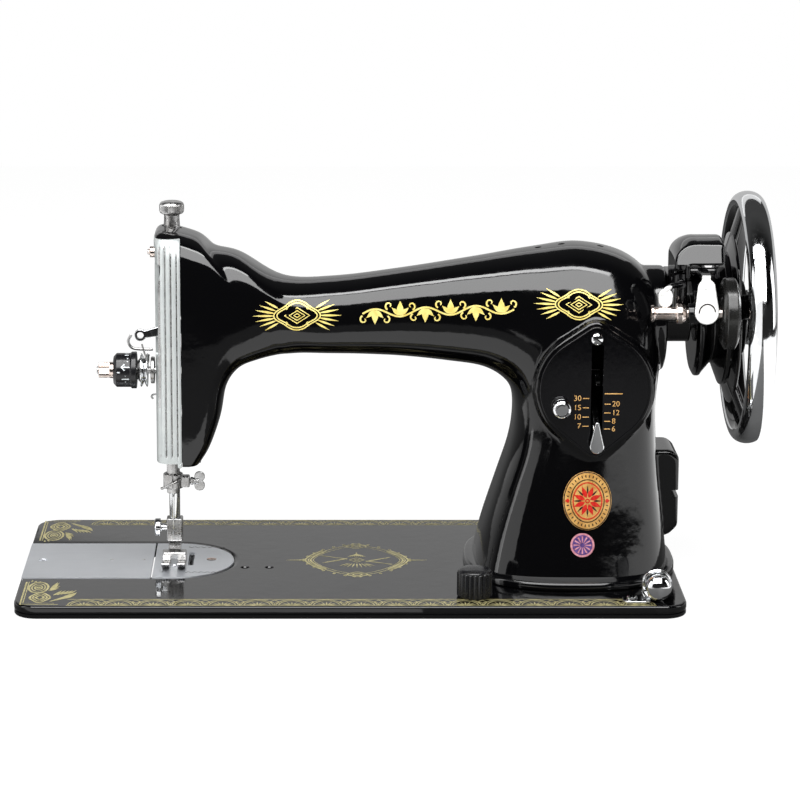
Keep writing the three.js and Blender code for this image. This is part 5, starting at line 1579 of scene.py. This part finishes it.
def world():
    """White to the eye; in reflections dark in front and above, mid grey low down behind."""
    sky = bpy.data.worlds.new("studio")
    bpy.context.scene.world = sky
    sky.use_nodes = True
    tree = sky.node_tree
    way = node(tree, "SeparateXYZ", Vector=node(tree, "TexCoord").outputs["Generated"])
    level = node(tree, "Math")
    level.operation = "MULTIPLY"
    for k, (axis, start, end, first, last) in enumerate(
            (("Y", -0.2, 0.5, 0.02, SKY_BEHIND), ("Z", 0.31, 0.4, 1.0, 0.1))):
        ramp = node(tree, "MapRange", Value=way.outputs[axis], From_Min=start, From_Max=end,
                    To_Min=first, To_Max=last)
        ramp.interpolation_type = "SMOOTHSTEP"
        tree.links.new(ramp.outputs["Result"], level.inputs[k])
    reflected = node(tree, "Background", Color=(1, 1, 1, 1), Strength=level.outputs["Value"])
    seen = node(tree, "Background", Color=(1, 1, 1, 1), Strength=1.0)
    mix = node(tree, "MixShader", Fac=node(tree, "LightPath").outputs["Is Camera Ray"])
    tree.links.new(reflected.outputs["Background"], mix.inputs[1])
    tree.links.new(seen.outputs["Background"], mix.inputs[2])
    tree.links.new(mix.outputs["Shader"], tree.nodes["World Output"].inputs["Surface"])


def panel(name, place, aim, size, radiance):
    """A soft box, its brightness given as radiance. One without an aim lies on the table and shines up."""
    data = bpy.data.lights.new(name, "AREA")
    data.shape = "RECTANGLE"
    data.size, data.size_y = size
    data.energy = math.pi * size[0] * size[1] * radiance
    light = linked(name, data)
    light.location = place
    light.rotation_euler = (math.pi, 0, 0)
    if aim:
        light.rotation_euler = (Vector(aim) - Vector(place)).to_track_quat("-Z", "Y").to_euler()
    light.visible_camera = False


floor()
world()
ARM = (0.0, 0.0, 0.155)
for light in (
        ("key", (-0.05, -0.83, 1.04), ARM, (1.35, 0.9), 6.8),
        ("key_top", (-0.05, -0.33, 1.33), ARM, (1.35, 0.2), 13.0),
        ("left", (-1.30, -0.85, 0.70), (0.0, 0.0, 0.15), (1.1, 1.4), 1.2),
        ("left_strip", (-0.95, -0.25, 0.4), (0.0, 0.0, 0.12), (0.16, 0.9), 2.6),
        ("left_card", (-0.71, -0.375, 0.001), None, (0.94, 1.15), 1.0),
        ("right", (1.45, -0.30, 0.55), (0.1, 0.0, 0.12), (0.55, 1.0), 2.0),
        ("right_card", (0.75, -0.35, 0.001), None, (0.94, 1.5), 1.2),
        ("back", (0.0, 1.3, 0.85), (0.0, 0.0, 0.0), (1.6, 0.35), 0.75),
        ("near_card", (-0.105, -0.215, 0.001), None, (0.29, 0.23), 1.1),
        ("wheel_fill", (0.17, -0.40, 0.30), (1.0, -0.40, 0.30), (0.6, 0.6), 1.1)):
    panel(*light)

bpy.context.scene.view_settings.view_transform = "Standard"
camera = linked("camera", bpy.data.cameras.new("camera"))
camera.data.sensor_width = 36
camera.data.lens = 137.745
camera.data.shift_x = 0.1105
camera.data.clip_end = 20
camera.location = (-0.0213, -1.694, 0.5043)
camera.rotation_euler = (math.pi / 2 - 0.2328, 0, 0)
bpy.context.scene.camera = camera
